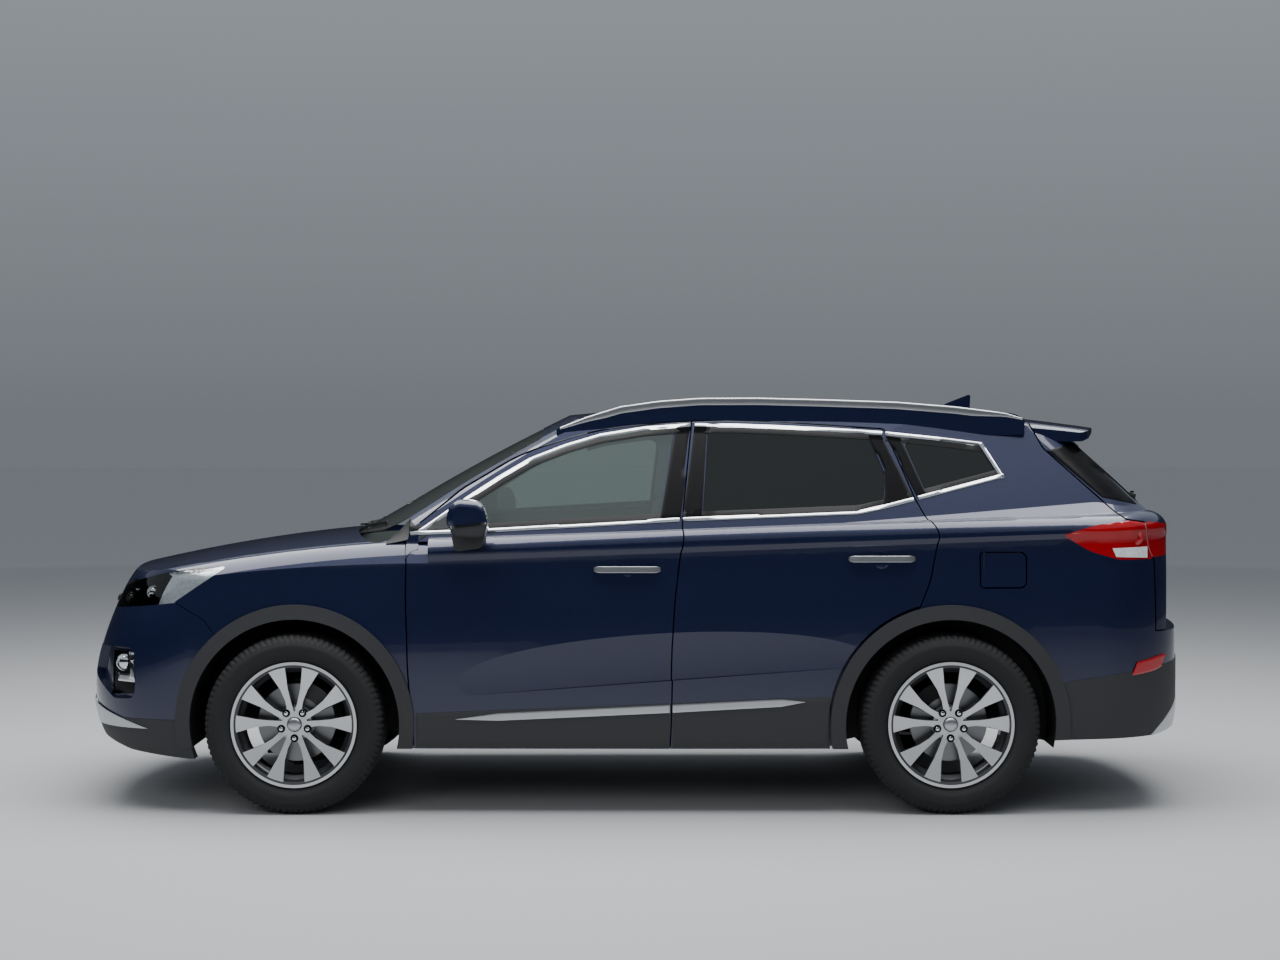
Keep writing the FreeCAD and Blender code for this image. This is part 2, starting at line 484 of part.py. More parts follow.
arm_y0, arm_y1 = -GATE_PIN_Y - ARM_T/2, -GATE_PIN_Y + ARM_T/2
gate_arm = side_prism(neck, arm_y0, arm_y1).fuse(rod(14, px, pz, arm_y0, arm_y1)).cut(
    rod(GATE_PIN_R + FIT, px, pz, arm_y0, arm_y1))
save("tailgate", biggest(gate.cut([gate_lamps, mirrored(gate_lamps)]).fuse([gate_arm, mirrored(gate_arm)])))

# wheels, in a frame whose origin is the wheel centre and whose outboard side is -Y
TYRE_HALF = [(BEAD_R + 2, 93.5), (FLANGE_R + 4, 99), (292, 114), (322, TYRE_W/2), (352, 108), (TYRE_R, 86)]
TYRE_SIDES = 60         # flat facets round the tread, with one on the road
HUB_R, HUB_FACE, BORE_R, BORE_DEEP = 70.0, -20.0, 30.0, 26.0
STUB_R = BORE_R - FIT
CAP_R, PAIRS = 31.0, 5
#          radius, half width of the windows inside a pair of spokes and between two pairs
NARROW = [(54, 3), (100, 15), (150, 26), (241, 36)]
WIDE = [(70, 13), (100, 27), (150, 39), (241, 44)]
DISH_FRONT = [(0, -82), (60, -82), (150, -91), (240, -104)]
DISH_BACK = [(240, -82), (150, -62), (HUB_R, -46), (0, -46)]


def turned(profile):
    """Solid of revolution about the wheel axis from (radius, y) corners."""
    pts = [V(r, y, 0) for r, y in profile]
    face = Part.Face(Part.makePolygon(pts + pts[:1]))
    return face.revolve(V(0, 0, 0), V(0, 1, 0), 360)


def window(steps, degrees):
    pts = [(r, -w) for r, w in steps] + [(r, w) for r, w in reversed(steps)]
    face = rounded([(r, w, 8 if r > 60 else 2) for r, w in pts], lambda u, v: V(v, -150, u))
    cut = face.extrude(V(0, 200, 0))
    cut.rotate(V(0, 0, 0), V(0, 1, 0), degrees)
    return cut


def faceted(profile, sides):
    """Ring of flat facets about the wheel axis whose flats touch the profile, with one flat at the bottom."""
    step = 2*math.pi/sides
    grow = 1/math.cos(step/2)
    rows = [[V(r*grow*math.sin(k*step + step/2), y, -r*grow*math.cos(k*step + step/2)) for r, y in profile]
            for k in range(sides)]
    faces = []
    for k, row in enumerate(rows):
        other = rows[(k + 1) % sides]
        for i in range(len(profile)):
            j = (i + 1) % len(profile)
            faces.append(Part.Face(Part.makePolygon([row[i], row[j], other[j], other[i], row[i]])))
    solid = Part.Solid(Part.makeShell(faces))
    if solid.Volume < 0:
        solid.reverse()
    return solid


tyre = faceted([(r, -y) for r, y in TYRE_HALF] + [(r, y) for r, y in reversed(TYRE_HALF)], TYRE_SIDES)
half_rim = RIM_W/2
barrel = turned([(FLANGE_R, -half_rim), (FLANGE_R, 8 - half_rim), (BEAD_R, 12 - half_rim), (BEAD_R, -70), (BEAD_R - 16, -55),
                 (BEAD_R - 16, 10), (BEAD_R, 40), (BEAD_R, half_rim - 12), (FLANGE_R, half_rim - 8), (FLANGE_R, half_rim),
                 (BEAD_R - 8, half_rim - 4), (BEAD_R - 12, 40), (BEAD_R - 28, 10), (BEAD_R - 28, -55),
                 (BEAD_R - 12, -72), (BEAD_R - 6, 6 - half_rim), (BEAD_R + 6, -half_rim)])
dish = turned(DISH_FRONT + DISH_BACK)
dish = dish.cut([window(NARROW, 360.0/PAIRS*k) for k in range(PAIRS)] +
                [window(WIDE, 360.0/PAIRS*(k + 0.5)) for k in range(PAIRS)])
hub = rod(HUB_R, 0, 0, -60, HUB_FACE).cut(rod(BORE_R, 0, 0, HUB_FACE - BORE_DEEP, 50))
cap = turned([(0, -95), (14, -94), (CAP_R - 4, -89), (CAP_R, -84), (CAP_R, -70), (0, -70)])
rim = barrel.fuse([dish, hub, cap])
for name, x in (("f", FRONT_AXLE), ("r", REAR_AXLE)):
    for kind, shape in (("tyre_", tyre), ("wheel_", rim)):
        placed = shape.copy()
        placed.translate(V(x, -TRACK/2, TYRE_R))
        save_pair(kind + name, "l", "r", placed)

# knuckles: stub axle, upright, ball joint bosses, steering arm and caliper, about the wheel centre
KINGPIN_IN = 45.0       # kingpin axis inboard of the wheel centre
UPRIGHT = (38.0, 148.0, 18.0, 52.0)     # half length, half height, inner and outer face
BOSS_R, BOSS_Z = 21.0, 158.0
DISC_R, DISC_T, DISC_Y = 162.0, 24.0, 0.0


def caliper(start, end, y_back):
    ring_part = turned([(110, -30), (174, -30), (174, y_back), (110, y_back)])
    slot = turned([(60, DISC_Y - DISC_T/2 - 5), (DISC_R + 5, DISC_Y - DISC_T/2 - 5),
                   (DISC_R + 5, DISC_Y + DISC_T/2 + 5), (60, DISC_Y + DISC_T/2 + 5)])
    a, b = math.radians(start), math.radians(end)
    wedge = Part.Face(Part.makePolygon([V(0, -60, 0), V(400*math.cos(a), -60, 400*math.sin(a)),
                                        V(400*math.cos(b), -60, 400*math.sin(b)), V(0, -60, 0)])).extrude(V(0, 160, 0))
    return ring_part.cut(slot).common(wedge)


def upright():
    half_x, half_z, y0, y1 = UPRIGHT
    return box(-half_x, half_x, y0, y1, -half_z, half_z)


stub = rod(STUB_R, 0, 0, HUB_FACE - BORE_DEEP + 4, 30)
bosses = [Part.makeCylinder(BOSS_R, 2*BOSS_Z, V(0, KINGPIN_IN, -BOSS_Z), V(0, 0, 1))]
arm = box(30, 130, 34, 50, -70, -50)
knuckle = stub.fuse([upright(), caliper(25, 75, 40), arm] + bosses)
placed = knuckle.copy()
placed.translate(V(FRONT_AXLE, -TRACK/2, TYRE_R))
save_pair("knuckle_", "l", "r", placed)

# front subframe: crossmember, rails, lower arms and upper links
KING_Y = TRACK/2 - KINGPIN_IN
RAIL_Y, RAIL_W, RAIL_Z0, RAIL_Z1 = 345.0, 80.0, 440.0, 560.0
low_z = TYRE_R - BOSS_Z - FIT
high_z = TYRE_R + BOSS_Z + FIT


def bar(x0, y0, x1, y1, z0, z1, w):
    """Flat bar with round ends in plan, from one pivot to another."""
    d = math.hypot(x1 - x0, y1 - y0)
    nx, ny = -(y1 - y0)/d*w/2, (x1 - x0)/d*w/2
    quad = Part.Face(Part.makePolygon([V(x0 + nx, y0 + ny, z0), V(x1 + nx, y1 + ny, z0), V(x1 - nx, y1 - ny, z0),
                                       V(x0 - nx, y0 - ny, z0), V(x0 + nx, y0 + ny, z0)])).extrude(V(0, 0, z1 - z0))
    ends = [Part.makeCylinder(w/2, z1 - z0, V(x, y, z0)) for x, y in ((x0, y0), (x1, y1))]
    return quad.fuse(ends)


cross = box(FRONT_AXLE - 190, FRONT_AXLE + 190, -400, 400, low_z - 30, low_z + 40)
rail = box(-2240, -1070 - FIT, -RAIL_Y - RAIL_W, -RAIL_Y, RAIL_Z0, RAIL_Z1)
post = box(FRONT_AXLE - 60, FRONT_AXLE + 60, -400, -RAIL_Y, low_z, RAIL_Z0 + 10)
lower_arm = bar(FRONT_AXLE - 150, -390, FRONT_AXLE, -KING_Y, low_z - 24, low_z, 44).fuse(
    bar(FRONT_AXLE + 150, -390, FRONT_AXLE, -KING_Y, low_z - 24, low_z, 44))
upper_arm = bar(FRONT_AXLE, -RAIL_Y - 30, FRONT_AXLE, -KING_Y, high_z, high_z + 22, 40)
half_frame = [rail, post, lower_arm, upper_arm]
beam = box(-2240, -2190, -520, 520, 450, 550)
save("front_subframe", cross.fuse([beam] + half_frame + [mirrored(s) for s in half_frame]))

FLOOR_Z, FLOOR_T = 330.0, 50.0
BOOT_Z, BOOT_T = 615.0 + FIT, 45.0
floor_side = [(-1030, FLOOR_Z, 0), (-1030, FLOOR_Z + FLOOR_T, 0), (830, FLOOR_Z + FLOOR_T, 40), (900, BOOT_Z + BOOT_T, 40),
              (2170, BOOT_Z + BOOT_T, 0), (2170, BOOT_Z, 0), (960, BOOT_Z, 40), (880, FLOOR_Z, 40)]

# rear axle: beam, trailing arms, springs' seats, uprights with stub axles and calipers
rear_up = rod(60, 0, 0, 18, 60).fuse([rod(STUB_R, 0, 0, HUB_FACE - BORE_DEEP + 4, 30), caliper(105, 155, 40),
                                      box(-110, -20, 30, 50, 20, 110)])
rear_up.translate(V(REAR_AXLE, -TRACK/2, TYRE_R))
axle_beam = rod(42, REAR_AXLE, TYRE_R, -TRACK/2 + 40, TRACK/2 - 40)
trailing = side_prism([(860, 300, 0), (860, 372, 0), (1280, 410, 40), (1330, 330, 40), (1200, 300, 100)], -600, -530).cut(
    side_prism(floor_side, -900, 900, FIT))
spring = Part.makeCylinder(48, BOOT_Z - FIT - TYRE_R - 30, V(REAR_AXLE, -500, TYRE_R + 30))
half_axle = [rear_up, trailing, spring]
save("rear_axle", axle_beam.fuse(half_axle + [mirrored(s) for s in half_axle]))

# floor, bulkhead and scuttle
inside = plain_lower(-WALL_LOW - FIT)
tunnel = side_prism([(-1030, FLOOR_Z + 20, 0), (-1030, 520, 60), (300, 470, 100), (700, FLOOR_Z + 20, 0)], -110, 110).cut(
    side_prism([(-1100, FLOOR_Z - 5, 0), (-1100, 480, 60), (280, 430, 100), (600, FLOOR_Z - 5, 0)], -70, 70))
floor = side_prism(floor_side, -900, 900).cut(
    side_prism([(-1100, FLOOR_Z - 5, 0), (-1100, 480, 60), (280, 430, 100), (600, FLOOR_Z - 5, 0)], -70, 70)).fuse(tunnel)
floor = floor.common(inside).cut([front_well, mirrored(front_well), rear_well, mirrored(rear_well)])
save("floor_pan", biggest(floor))
wall = box(-1070, -1030 - FIT, -800, 800, FLOOR_Z, 1040)
cowl = box(-1240, -1000, -730, 730, 1030, 1120 - FIT)
bulk = wall.fuse(cowl).common(plain_lower(-WING_T - FIT)).common(crowned(*BONNET, drop=BONNET_T + GAP))
save("bulkhead", biggest(bulk.cut([front_well, mirrored(front_well)])))

# engine block
save("engine", box(-1900, -1180, FIT - RAIL_Y, RAIL_Y - FIT, 330, 900))

# arch cladding: a band proud of the panels round each wheel opening
proud = lower_body(TRIM_T).cut(lower_body(FIT)).cut(under)
bands = []
for x in (FRONT_AXLE, REAR_AXLE):
    band = rod(TRIM_OUT_R, x, TYRE_R, -1100, -700).cut(rod(TRIM_IN_R, x, TYRE_R, -1200, -600))
    band = band.common(box(x - 600, x + 600, -1100, -700, SILL_Z, 1200))
    bands.append(biggest(proud.common(band)))
save("arch_trims", Part.makeCompound(bands + [mirrored(b) for b in bands]))

# grille in the nose
g_hole = front_prism(GRILLE, -2500, -2100, -FIT)
bars = [box(-2500, -2100, -500, 500, z, z + GRILLE_BAR) for z in range(580, 820, int(GRILLE_PITCH))]
frame = g_hole.cut(front_prism(GRILLE, -2600, -2000, -GRILLE_FRAME))
skin = plain_lower(-2.0).cut(plain_lower(-30.0))
slats = Part.makeCompound(bars).common(g_hole)
grille = frame.fuse([slats] + [box(-2500, -2100, y - 8, y + 8, 565, 835).common(g_hole) for y in (-240, 0, 240)])
save("grille", biggest(grille.common(skin)))

# dashboard with the steering wheel, and seats
dash_side = [(-1000, 640, 40), (-1000, 1040, 60), (-700, 1062, 80), (-560, 990, 60), (-600, 700, 80), (-800, 600, 60)]
dash = side_prism(dash_side, -900, 900).common(inside).cut(box(-2000, -1029.5, -1000, 1000, 0, 2000))
save("dashboard", biggest(dash))
WHEEL_RIM_R, WHEEL_RIM_W, WHEEL_TILT = 182.0, 15.0, 25.0
hub_at = V(-385, -370, 935)
steer = Part.makeTorus(WHEEL_RIM_R, WHEEL_RIM_W, V(0, 0, 0), V(1, 0, 0)).fuse(
    [Part.makeCylinder(75, 40, V(-45, 0, 0), V(1, 0, 0)), box(-22, -6, -WHEEL_RIM_R, WHEEL_RIM_R, -16, 16),
     box(-22, -6, -22, 22, -WHEEL_RIM_R, 0), Part.makeCylinder(30, 180, V(-200, 0, 0), V(1, 0, 0))])
steer.rotate(V(0, 0, 0), V(0, 1, 0), -WHEEL_TILT)
steer.translate(hub_at)
save("steering_wheel", biggest(steer.cut(dash)))
floor_top = FLOOR_Z + FLOOR_T + FIT
front_seat = [(-300, 500, 50), (-270, 585, 40), (190, 560, 60), (375, 1120, 60), (500, 1105, 50), (330, 560, 120),
              (260, 440, 60), (200, 440, 20), (200, floor_top, 0), (-200, floor_top, 0), (-200, 440, 20)]
rear_seat = [(720, 530, 50), (740, 705, 50), (1130, 695, 40), (1290, 1170, 50), (1390, 1160, 40), (1290, 700, 60),
             (1290, BOOT_Z + BOOT_T + FIT, 0), (899, BOOT_Z + BOOT_T + FIT, 0), (864, 520, 0)]
SEAT_Y, SEAT_W, BENCH_W = 370.0, 500.0, 1180.0
head = side_prism([(395, 1060, 20), (400, 1270, 40), (500, 1265, 40), (505, 1060, 20)], -125, 125)
one = side_prism(front_seat, -SEAT_W/2, SEAT_W/2).fuse(head)
one.translate(V(0, -SEAT_Y, 0))
bench = side_prism(rear_seat, -BENCH_W/2, BENCH_W/2)
heads = [box(1310, 1400, y - 120, y + 120, 1150, 1275) for y in (-360, 0, 360)]
save("seats", Part.makeCompound([one, mirrored(one), bench.fuse(heads)]))

# roof rails and door mirrors
RAIL_SIDE = [(-330, 1560, 0), (-330, 1585, 10), (-60, 1682, 500), (270, 1716, 1500), (1100, 1699, 3000), (1600, 1650, 300),
             (1642, 1625, 8), (1642, 1560, 0)]
rail = side_prism(RAIL_SIDE, -634, -602).cut(
    [plain_glasshouse(FIT).common(crowned(*ROOF, drop=-FIT)), door_prism(DOORS, GAP)])
save("roof_rails", both(biggest(rail)))
MIRROR = [(-762, 1215, 45), (-740, 1300, 50), (-612, 1290, 50), (-590, 1215, 40), (-605, 1145, 30), (-735, 1150, 40)]
MIRROR_Y0, MIRROR_Y1 = 930.0, 1075.0
head = side_prism(MIRROR, -MIRROR_Y1, -MIRROR_Y0)
edges = [e for e in head.Edges if abs(e.BoundBox.YMin + MIRROR_Y1) < 1 and abs(e.BoundBox.YMax + MIRROR_Y1) < 1]
head = head.makeFillet(28, edges)
foot = side_prism([(-735, 1085, 20), (-748, 1155, 10), (-610, 1155, 10), (-625, 1100, 20)], -MIRROR_Y0 - 30, -830)
mirror = head.fuse(foot).cut([plain_lower(FIT), plain_glasshouse(FIT)])
save_pair("mirror_", "l", "r", biggest(mirror))
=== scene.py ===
# %% [markdown]
# # A crossover SUV, dressed for its portrait
# The metal, glass and wheels come ready made as a fixed frame, in metres: nose toward -X, tail toward +X,
# the car's left side toward -Y and the road at Z = 0. This script adds what a body shop, a trim line and a
# paint booth add: finishes, cladding, bright strips, lamps, handles, tyre tread, wipers and seats.
# We start by loading the frame.

# %% Load the frame
import json
import math

import bmesh
import bpy
from mathutils import Matrix, Vector
from mathutils.bvhtree import BVHTree

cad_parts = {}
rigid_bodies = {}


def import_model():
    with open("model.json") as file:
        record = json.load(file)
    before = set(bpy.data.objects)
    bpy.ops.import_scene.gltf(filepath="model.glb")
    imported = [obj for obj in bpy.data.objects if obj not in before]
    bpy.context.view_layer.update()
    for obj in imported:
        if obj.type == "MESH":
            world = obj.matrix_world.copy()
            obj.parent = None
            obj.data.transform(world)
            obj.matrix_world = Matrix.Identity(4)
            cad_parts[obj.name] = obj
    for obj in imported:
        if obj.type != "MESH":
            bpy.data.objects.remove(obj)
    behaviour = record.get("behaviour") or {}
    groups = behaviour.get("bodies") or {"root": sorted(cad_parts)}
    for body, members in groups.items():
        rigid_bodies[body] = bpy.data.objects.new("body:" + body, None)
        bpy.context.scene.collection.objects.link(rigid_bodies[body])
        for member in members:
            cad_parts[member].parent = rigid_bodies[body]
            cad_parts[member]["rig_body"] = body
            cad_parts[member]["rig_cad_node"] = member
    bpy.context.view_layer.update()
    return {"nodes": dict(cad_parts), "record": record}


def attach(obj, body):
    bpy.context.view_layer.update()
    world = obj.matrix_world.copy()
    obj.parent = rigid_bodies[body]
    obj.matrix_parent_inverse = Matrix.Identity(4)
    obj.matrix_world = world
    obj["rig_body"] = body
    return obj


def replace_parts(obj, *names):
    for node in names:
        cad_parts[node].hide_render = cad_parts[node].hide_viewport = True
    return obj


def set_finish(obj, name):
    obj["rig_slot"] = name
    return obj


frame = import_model()
NODES = frame["nodes"]
scene = bpy.context.scene

# %% [markdown]
# ## The camera
# The photograph looks square at the car's left side from about ten metres, with the lens a little above the
# bonnet. A long lens gives that calm, flat view, so the focal length follows from how many pixels one metre
# covers at the wheels. The camera looks down by the small angle that puts the horizon where the picture has it.

# %% Camera
PICTURE_W, PICTURE_H = 1280, 960
HORIZON_Y = 420.6
FOCAL_PX = 2325.0
LENS_AT = Vector((0.022, -10.43, 1.62))
SENSOR_MM = 36.0

camera = bpy.data.objects.new("camera", bpy.data.cameras.new("camera"))
scene.collection.objects.link(camera)
camera.data.sensor_width = SENSOR_MM
camera.data.lens = SENSOR_MM * FOCAL_PX / PICTURE_W
camera.location = LENS_AT
camera.rotation_euler = (math.radians(90) - math.atan((PICTURE_H / 2 - HORIZON_Y) / FOCAL_PX), 0, 0)
camera.data.clip_end = 200
scene.camera = camera
print("lens", round(camera.data.lens, 1), "mm")

# %% [markdown]
# ## Studio
# Glossy paint shows its shape only through what it mirrors. A wide soft box overhead draws one long highlight
# along the shoulder, and a weaker one fills the side. Toward the horizon the sky dims to the grey of the floor,
# so that the two meet without an edge.

# %% Floor and lights
def colour(text, alpha=1.0):
    """Linear RGBA of an sRGB hex colour such as #24315f."""
    parts = [int(text[i:i + 2], 16) / 255 for i in (1, 3, 5)]
    return (*[c / 12.92 if c <= 0.04045 else ((c + 0.055) / 1.055) ** 2.4 for c in parts], alpha)


def add(tree, kind, inputs=None, **settings):
    """Adds a shader node with its properties and gives each input a value or a link."""
    node = tree.nodes.new("ShaderNode" + kind)
    for key, value in settings.items():
        setattr(node, key, value)
    for key, value in (inputs or {}).items():
        if isinstance(value, bpy.types.Node):
            value = value.outputs[0]
        if isinstance(value, bpy.types.NodeSocket):
            tree.links.new(value, node.inputs[key])
        else:
            node.inputs[key].default_value = value
    return node


def material(name):
    """An empty material and its node tree."""
    made = bpy.data.materials.new(name)
    made.use_nodes = True
    made.node_tree.nodes.clear()
    return made, made.node_tree


def new_object(name, data):
    obj = bpy.data.objects.new(name, data)
    scene.collection.objects.link(obj)
    return obj


def area_light(name, place, target, size, size_y, watts):
    light = new_object(name, bpy.data.lights.new(name, "AREA"))
    light.data.shape, light.data.size, light.data.size_y, light.data.energy = "RECTANGLE", size, size_y, watts
    light.location = place
    light.rotation_euler = (Vector(target) - Vector(place)).to_track_quat("-Z", "Y").to_euler()
    return light


def deselect():
    bpy.ops.object.select_all(action="DESELECT")


def start_primitive(call, **where):
    """Adds a primitive with nothing else selected and returns its object."""
    deselect()
    call(**where)
    return bpy.context.active_object


def set_up(obj, name, paint, text, roughness):
    """Names a thing of the studio and paints it in one plain colour."""
    obj.name = name
    made, tree = material(paint)
    plain = add(tree, "BsdfPrincipled", {"Base Color": colour(text), "Roughness": roughness})
    add(tree, "OutputMaterial", {0: plain})
    obj.data.materials.append(made)


FLOOR_HALF = 70.0
floor = start_primitive(bpy.ops.mesh.primitive_plane_add, size=2 * FLOOR_HALF)
set_up(floor, "studio_floor", "matt_studio_vinyl", "#a3a4a5", 0.75)

HORIZON_GREY, SKY_GREY, SKY_FROM, SKY_STRENGTH = "#8b9097", "#c8d0da", 0.32, 0.65
world = bpy.data.worlds.new("soft_room")
scene.world = world
world.use_nodes = True
sky = world.node_tree
height = add(sky, "SeparateXYZ", {0: add(sky, "TexCoord").outputs["Generated"]})
haze = add(sky, "ValToRGB", {"Fac": height.outputs["Z"]})
low_sky, high_sky = haze.color_ramp.elements
low_sky.position, low_sky.color = 0.0, colour(HORIZON_GREY)
high_sky.position, high_sky.color = SKY_FROM, colour(SKY_GREY)
sky.links.new(haze.outputs["Color"], sky.nodes["Background"].inputs[0])
sky.nodes["Background"].inputs[1].default_value = SKY_STRENGTH
area_light("overhead_softbox", (0, 0, 6.0), (0, 0, 0.6), 9.0, 7.0, 1150)
fill = area_light("side_fill", (-3.0, -9.0, 4.2), (0, 0, 0.8), 6.0, 3.0, 260)
fill.visible_glossy = False

# %% [markdown]
# Dark paint looks deep only when it mirrors something dark. In a studio that is a ring of black cloth flags
# outside the picture. The camera doesn't see them, but the sides of the car do.

# %% Dark flags
FLAG_R, FLAG_H = 17.0, 6.5
flags = start_primitive(bpy.ops.mesh.primitive_cylinder_add, vertices=64, radius=FLAG_R, depth=FLAG_H,
                        end_fill_type="NOTHING", location=(0, 0, FLAG_H / 2 + 0.3))
flags.visible_camera = flags.visible_shadow = flags.visible_diffuse = False
set_up(flags, "studio_flags", "black_duvetyne", "#26282c", 0.9)

# %% [markdown]
# ## Finishes
# Paint, moulded plastic, bright metal, glass, rubber and cloth each answer light in their own way. One function
# hands over a surface whose colour and bump both come from a pattern in real millimetres, so every finish keeps
# a maker's scale. What is too fine to show at this distance is drawn a little coarser.

# %% A patterned surface
MM = 0.001


def noise(tree, size_mm, detail=2.0, roughness=0.5):
    """A noise pattern whose features are size_mm apart."""
    place = add(tree, "TexCoord")
    return add(tree, "TexNoise", {"Vector": place.outputs["Object"], "Scale": 1 / (size_mm * MM),
                                            "Detail": detail, "Roughness": roughness})


def finish(name, dark, light, size_mm, bump_mm=0.0, detail=2.0, **surface):
    """A surface that drifts between two colours, with the same pattern pressed in to bump_mm."""
    made, tree = material(name)
    pattern = noise(tree, size_mm, detail)
    ramp = add(tree, "ValToRGB", {"Fac": pattern.outputs["Fac"]})
    low, high = ramp.color_ramp.elements
    low.position, high.position, low.color, high.color = 0.35, 0.65, colour(dark), colour(light)
    skin = add(tree, "BsdfPrincipled", {"Base Color": ramp.outputs["Color"]})
    for key, value in surface.items():
        skin.inputs[key.replace("_", " ")].default_value = value
    if bump_mm:
        pressed = add(tree, "Bump", {"Height": pattern.outputs["Fac"], "Distance": bump_mm * MM,
                                               "Strength": 1.0})
        tree.links.new(pressed.outputs["Normal"], skin.inputs["Normal"])
    add(tree, "OutputMaterial", {0: skin})
    return made


# metallic base coat under clear lacquer: aluminium flakes glint, the lacquer mirrors
LACQUER = finish("navy_metallic_lacquer", "#0a1230", "#0f1a40", 2.5, Metallic=0.4, Roughness=0.36,
                 Coat_Weight=1.0, Coat_Roughness=0.03, Coat_IOR=1.5)
GRAINED = finish("grained_polypropylene", "#262729", "#303134", 1.6, 0.25, Roughness=0.62, IOR=1.49)
PIANO = finish("gloss_black_abs", "#050506", "#09090b", 40.0, Roughness=0.25, IOR=1.45, Specular_IOR_Level=0.2)
CHROME = finish("bright_chrome_plate", "#dcdee0", "#eceef0", 30.0, Metallic=1.0, Roughness=0.09)
SATIN = finish("satin_anodised_aluminium", "#b9bbbe", "#c9cbce", 1.2, 0.02, Metallic=1.0, Roughness=0.34)
RUBBER = finish("carbon_black_rubber", "#141415", "#1c1c1d", 2.2, 0.12, Roughness=0.78, IOR=1.52)
SEAL = finish("extruded_black_rubber", "#08080a", "#0e0e10", 3.0, 0.05, Roughness=0.6, IOR=1.45)
CAST = finish("cast_iron_primed", "#3c3c3e", "#545456", 3.0, 0.3, Metallic=0.6, Roughness=0.5)
DISC = finish("turned_iron_disc", "#77787a", "#9a9b9d", 1.5, 0.03, Metallic=1.0, Roughness=0.32)
CHASSIS = finish("chassis_black_coating", "#121213", "#1b1b1c", 6.0, 0.3, Roughness=0.7)
VINYL = finish("soft_black_vinyl", "#1a1a1c", "#232326", 1.8, 0.18, Roughness=0.6, IOR=1.5)
LINER = finish("needled_felt_lining", "#8d8a84", "#9c9993", 1.4, 0.2, Roughness=0.95)

# %% [markdown]
# Diamond-turned wheels are bright only where the lathe has passed, on the outward faces. Everything that the
# tool never reached keeps its dark grey paint. The direction that a face looks in tells the two apart.

# %% Two-tone alloy
def two_tone_alloy():
    made, tree = material("diamond_turned_alloy")
    facing = add(tree, "SeparateXYZ", {0: add(tree, "TexCoord").outputs["Normal"]})
    outward = add(tree, "Math", {0: facing.outputs["Y"]}, operation="ABSOLUTE")
    mask = add(tree, "Math", {0: outward, 1: 0.955}, operation="GREATER_THAN")
    grain = noise(tree, 1.5)
    tone = add(tree, "Mix", {"Factor": grain.outputs["Fac"], "A": colour("#c3c5c8"), "B": colour("#d6d8da")},
               data_type="RGBA")
    bright = add(tree, "BsdfPrincipled", {"Base Color": tone.outputs["Result"], "Metallic": 0.55,
                                                    "Roughness": 0.3})
    dark = add(tree, "BsdfPrincipled", {"Base Color": colour("#36373a"), "Roughness": 0.42,
                                                  "Metallic": 0.4, "Coat Weight": 0.5})
    both = add(tree, "MixShader", {0: mask, 1: dark, 2: bright})
    add(tree, "OutputMaterial", {0: both})
    return made


ALLOY = two_tone_alloy()

# %% [markdown]
# Window glass is a thin tinted sheet. A clear film of colour that light passes, plus a mirror that grows at
# grazing angles, gives that look without the noise and the bending of a solid block of glass. A share of pale
# diffuse colour, set by haze, is mixed in: on the window glass it is a painted reflection of a bright sky, and
# in the red lens it is the lens's own diffusing red.

# %% Glass and lamp plastic
def sheet_glass(name, tint, haze=0.0, diffuse_tint="#aab5b2"):
    made, tree = material(name)
    clear = add(tree, "BsdfTransparent", {"Color": colour(tint)})
    # diffuse layer: a painted sky reflection on the windows, the diffusing red of the red lens
    film = add(tree, "BsdfDiffuse", {"Color": colour(diffuse_tint)})
    body = add(tree, "MixShader", {0: haze, 1: clear, 2: film})
    mirror = add(tree, "BsdfGlossy", {"Color": colour("#ffffff"), "Roughness": 0.02})
    edge = add(tree, "Fresnel", {"IOR": 1.52})
    both = add(tree, "MixShader", {0: edge, 1: body, 2: mirror})
    add(tree, "OutputMaterial", {0: both})
    return made


# the pale diffuse share of both window glasses is a painted sky reflection
GREEN_GLASS = sheet_glass("tinted_float_glass", "#e4ede9", 0.085)
DARK_GLASS = sheet_glass("privacy_glass_film", "#63686c", 0.02)
CLEAR_LENS = sheet_glass("clear_polycarbonate", "#f4f6f7")
RED_LENS = sheet_glass("red_acrylic_lens", "#f02030", 0.4, "#d01424")
MIRROR_GLASS = finish("silvered_mirror_glass", "#e6e8ea", "#f0f2f4", 60.0, Metallic=1.0, Roughness=0.02)
NUMBERLESS = finish("blank_number_plate", "#b9bbb8", "#c4c6c3", 8.0, Roughness=0.35, Coat_Weight=0.4)
RED_RETRO = finish("red_reflector_plastic", "#8e0f18", "#b0141f", 2.5, 0.3, Roughness=0.2, Coat_Weight=1.0)

# %% [markdown]
# Seat cloth is woven: two sets of threads cross at right angles, a couple of millimetres apart once drawn
# coarse enough to show. The crossing waves both shade the colour and lift the surface.

# %% Woven cloth
def woven(name, dark, light, thread_mm):
    made, tree = material(name)
    place = add(tree, "TexCoord").outputs["Object"]
    waves = [add(tree, "TexWave", {"Vector": place, "Scale": 2 * math.pi / (20 * thread_mm * MM) * 2,
                                             "Distortion": 0.6, "Detail": 1.0}, bands_direction=axis)
             for axis in ("Y", "Z")]
    cross = add(tree, "Math", {0: waves[0].outputs["Fac"], 1: waves[1].outputs["Fac"]},
                operation="MULTIPLY")
    tone = add(tree, "Mix", {"Factor": cross, "A": colour(dark), "B": colour(light)},
               data_type="RGBA")
    lift = add(tree, "Bump", {"Height": cross, "Distance": 0.4 * MM, "Strength": 1.0})
    skin = add(tree, "BsdfPrincipled", {"Base Color": tone.outputs["Result"], "Roughness": 0.92,
                                                  "Sheen Weight": 0.3, "Normal": lift})
    add(tree, "OutputMaterial", {0: skin})
    return made


CLOTH = woven("woven_seat_cloth", "#3a3a3d", "#56565a", 2.4)

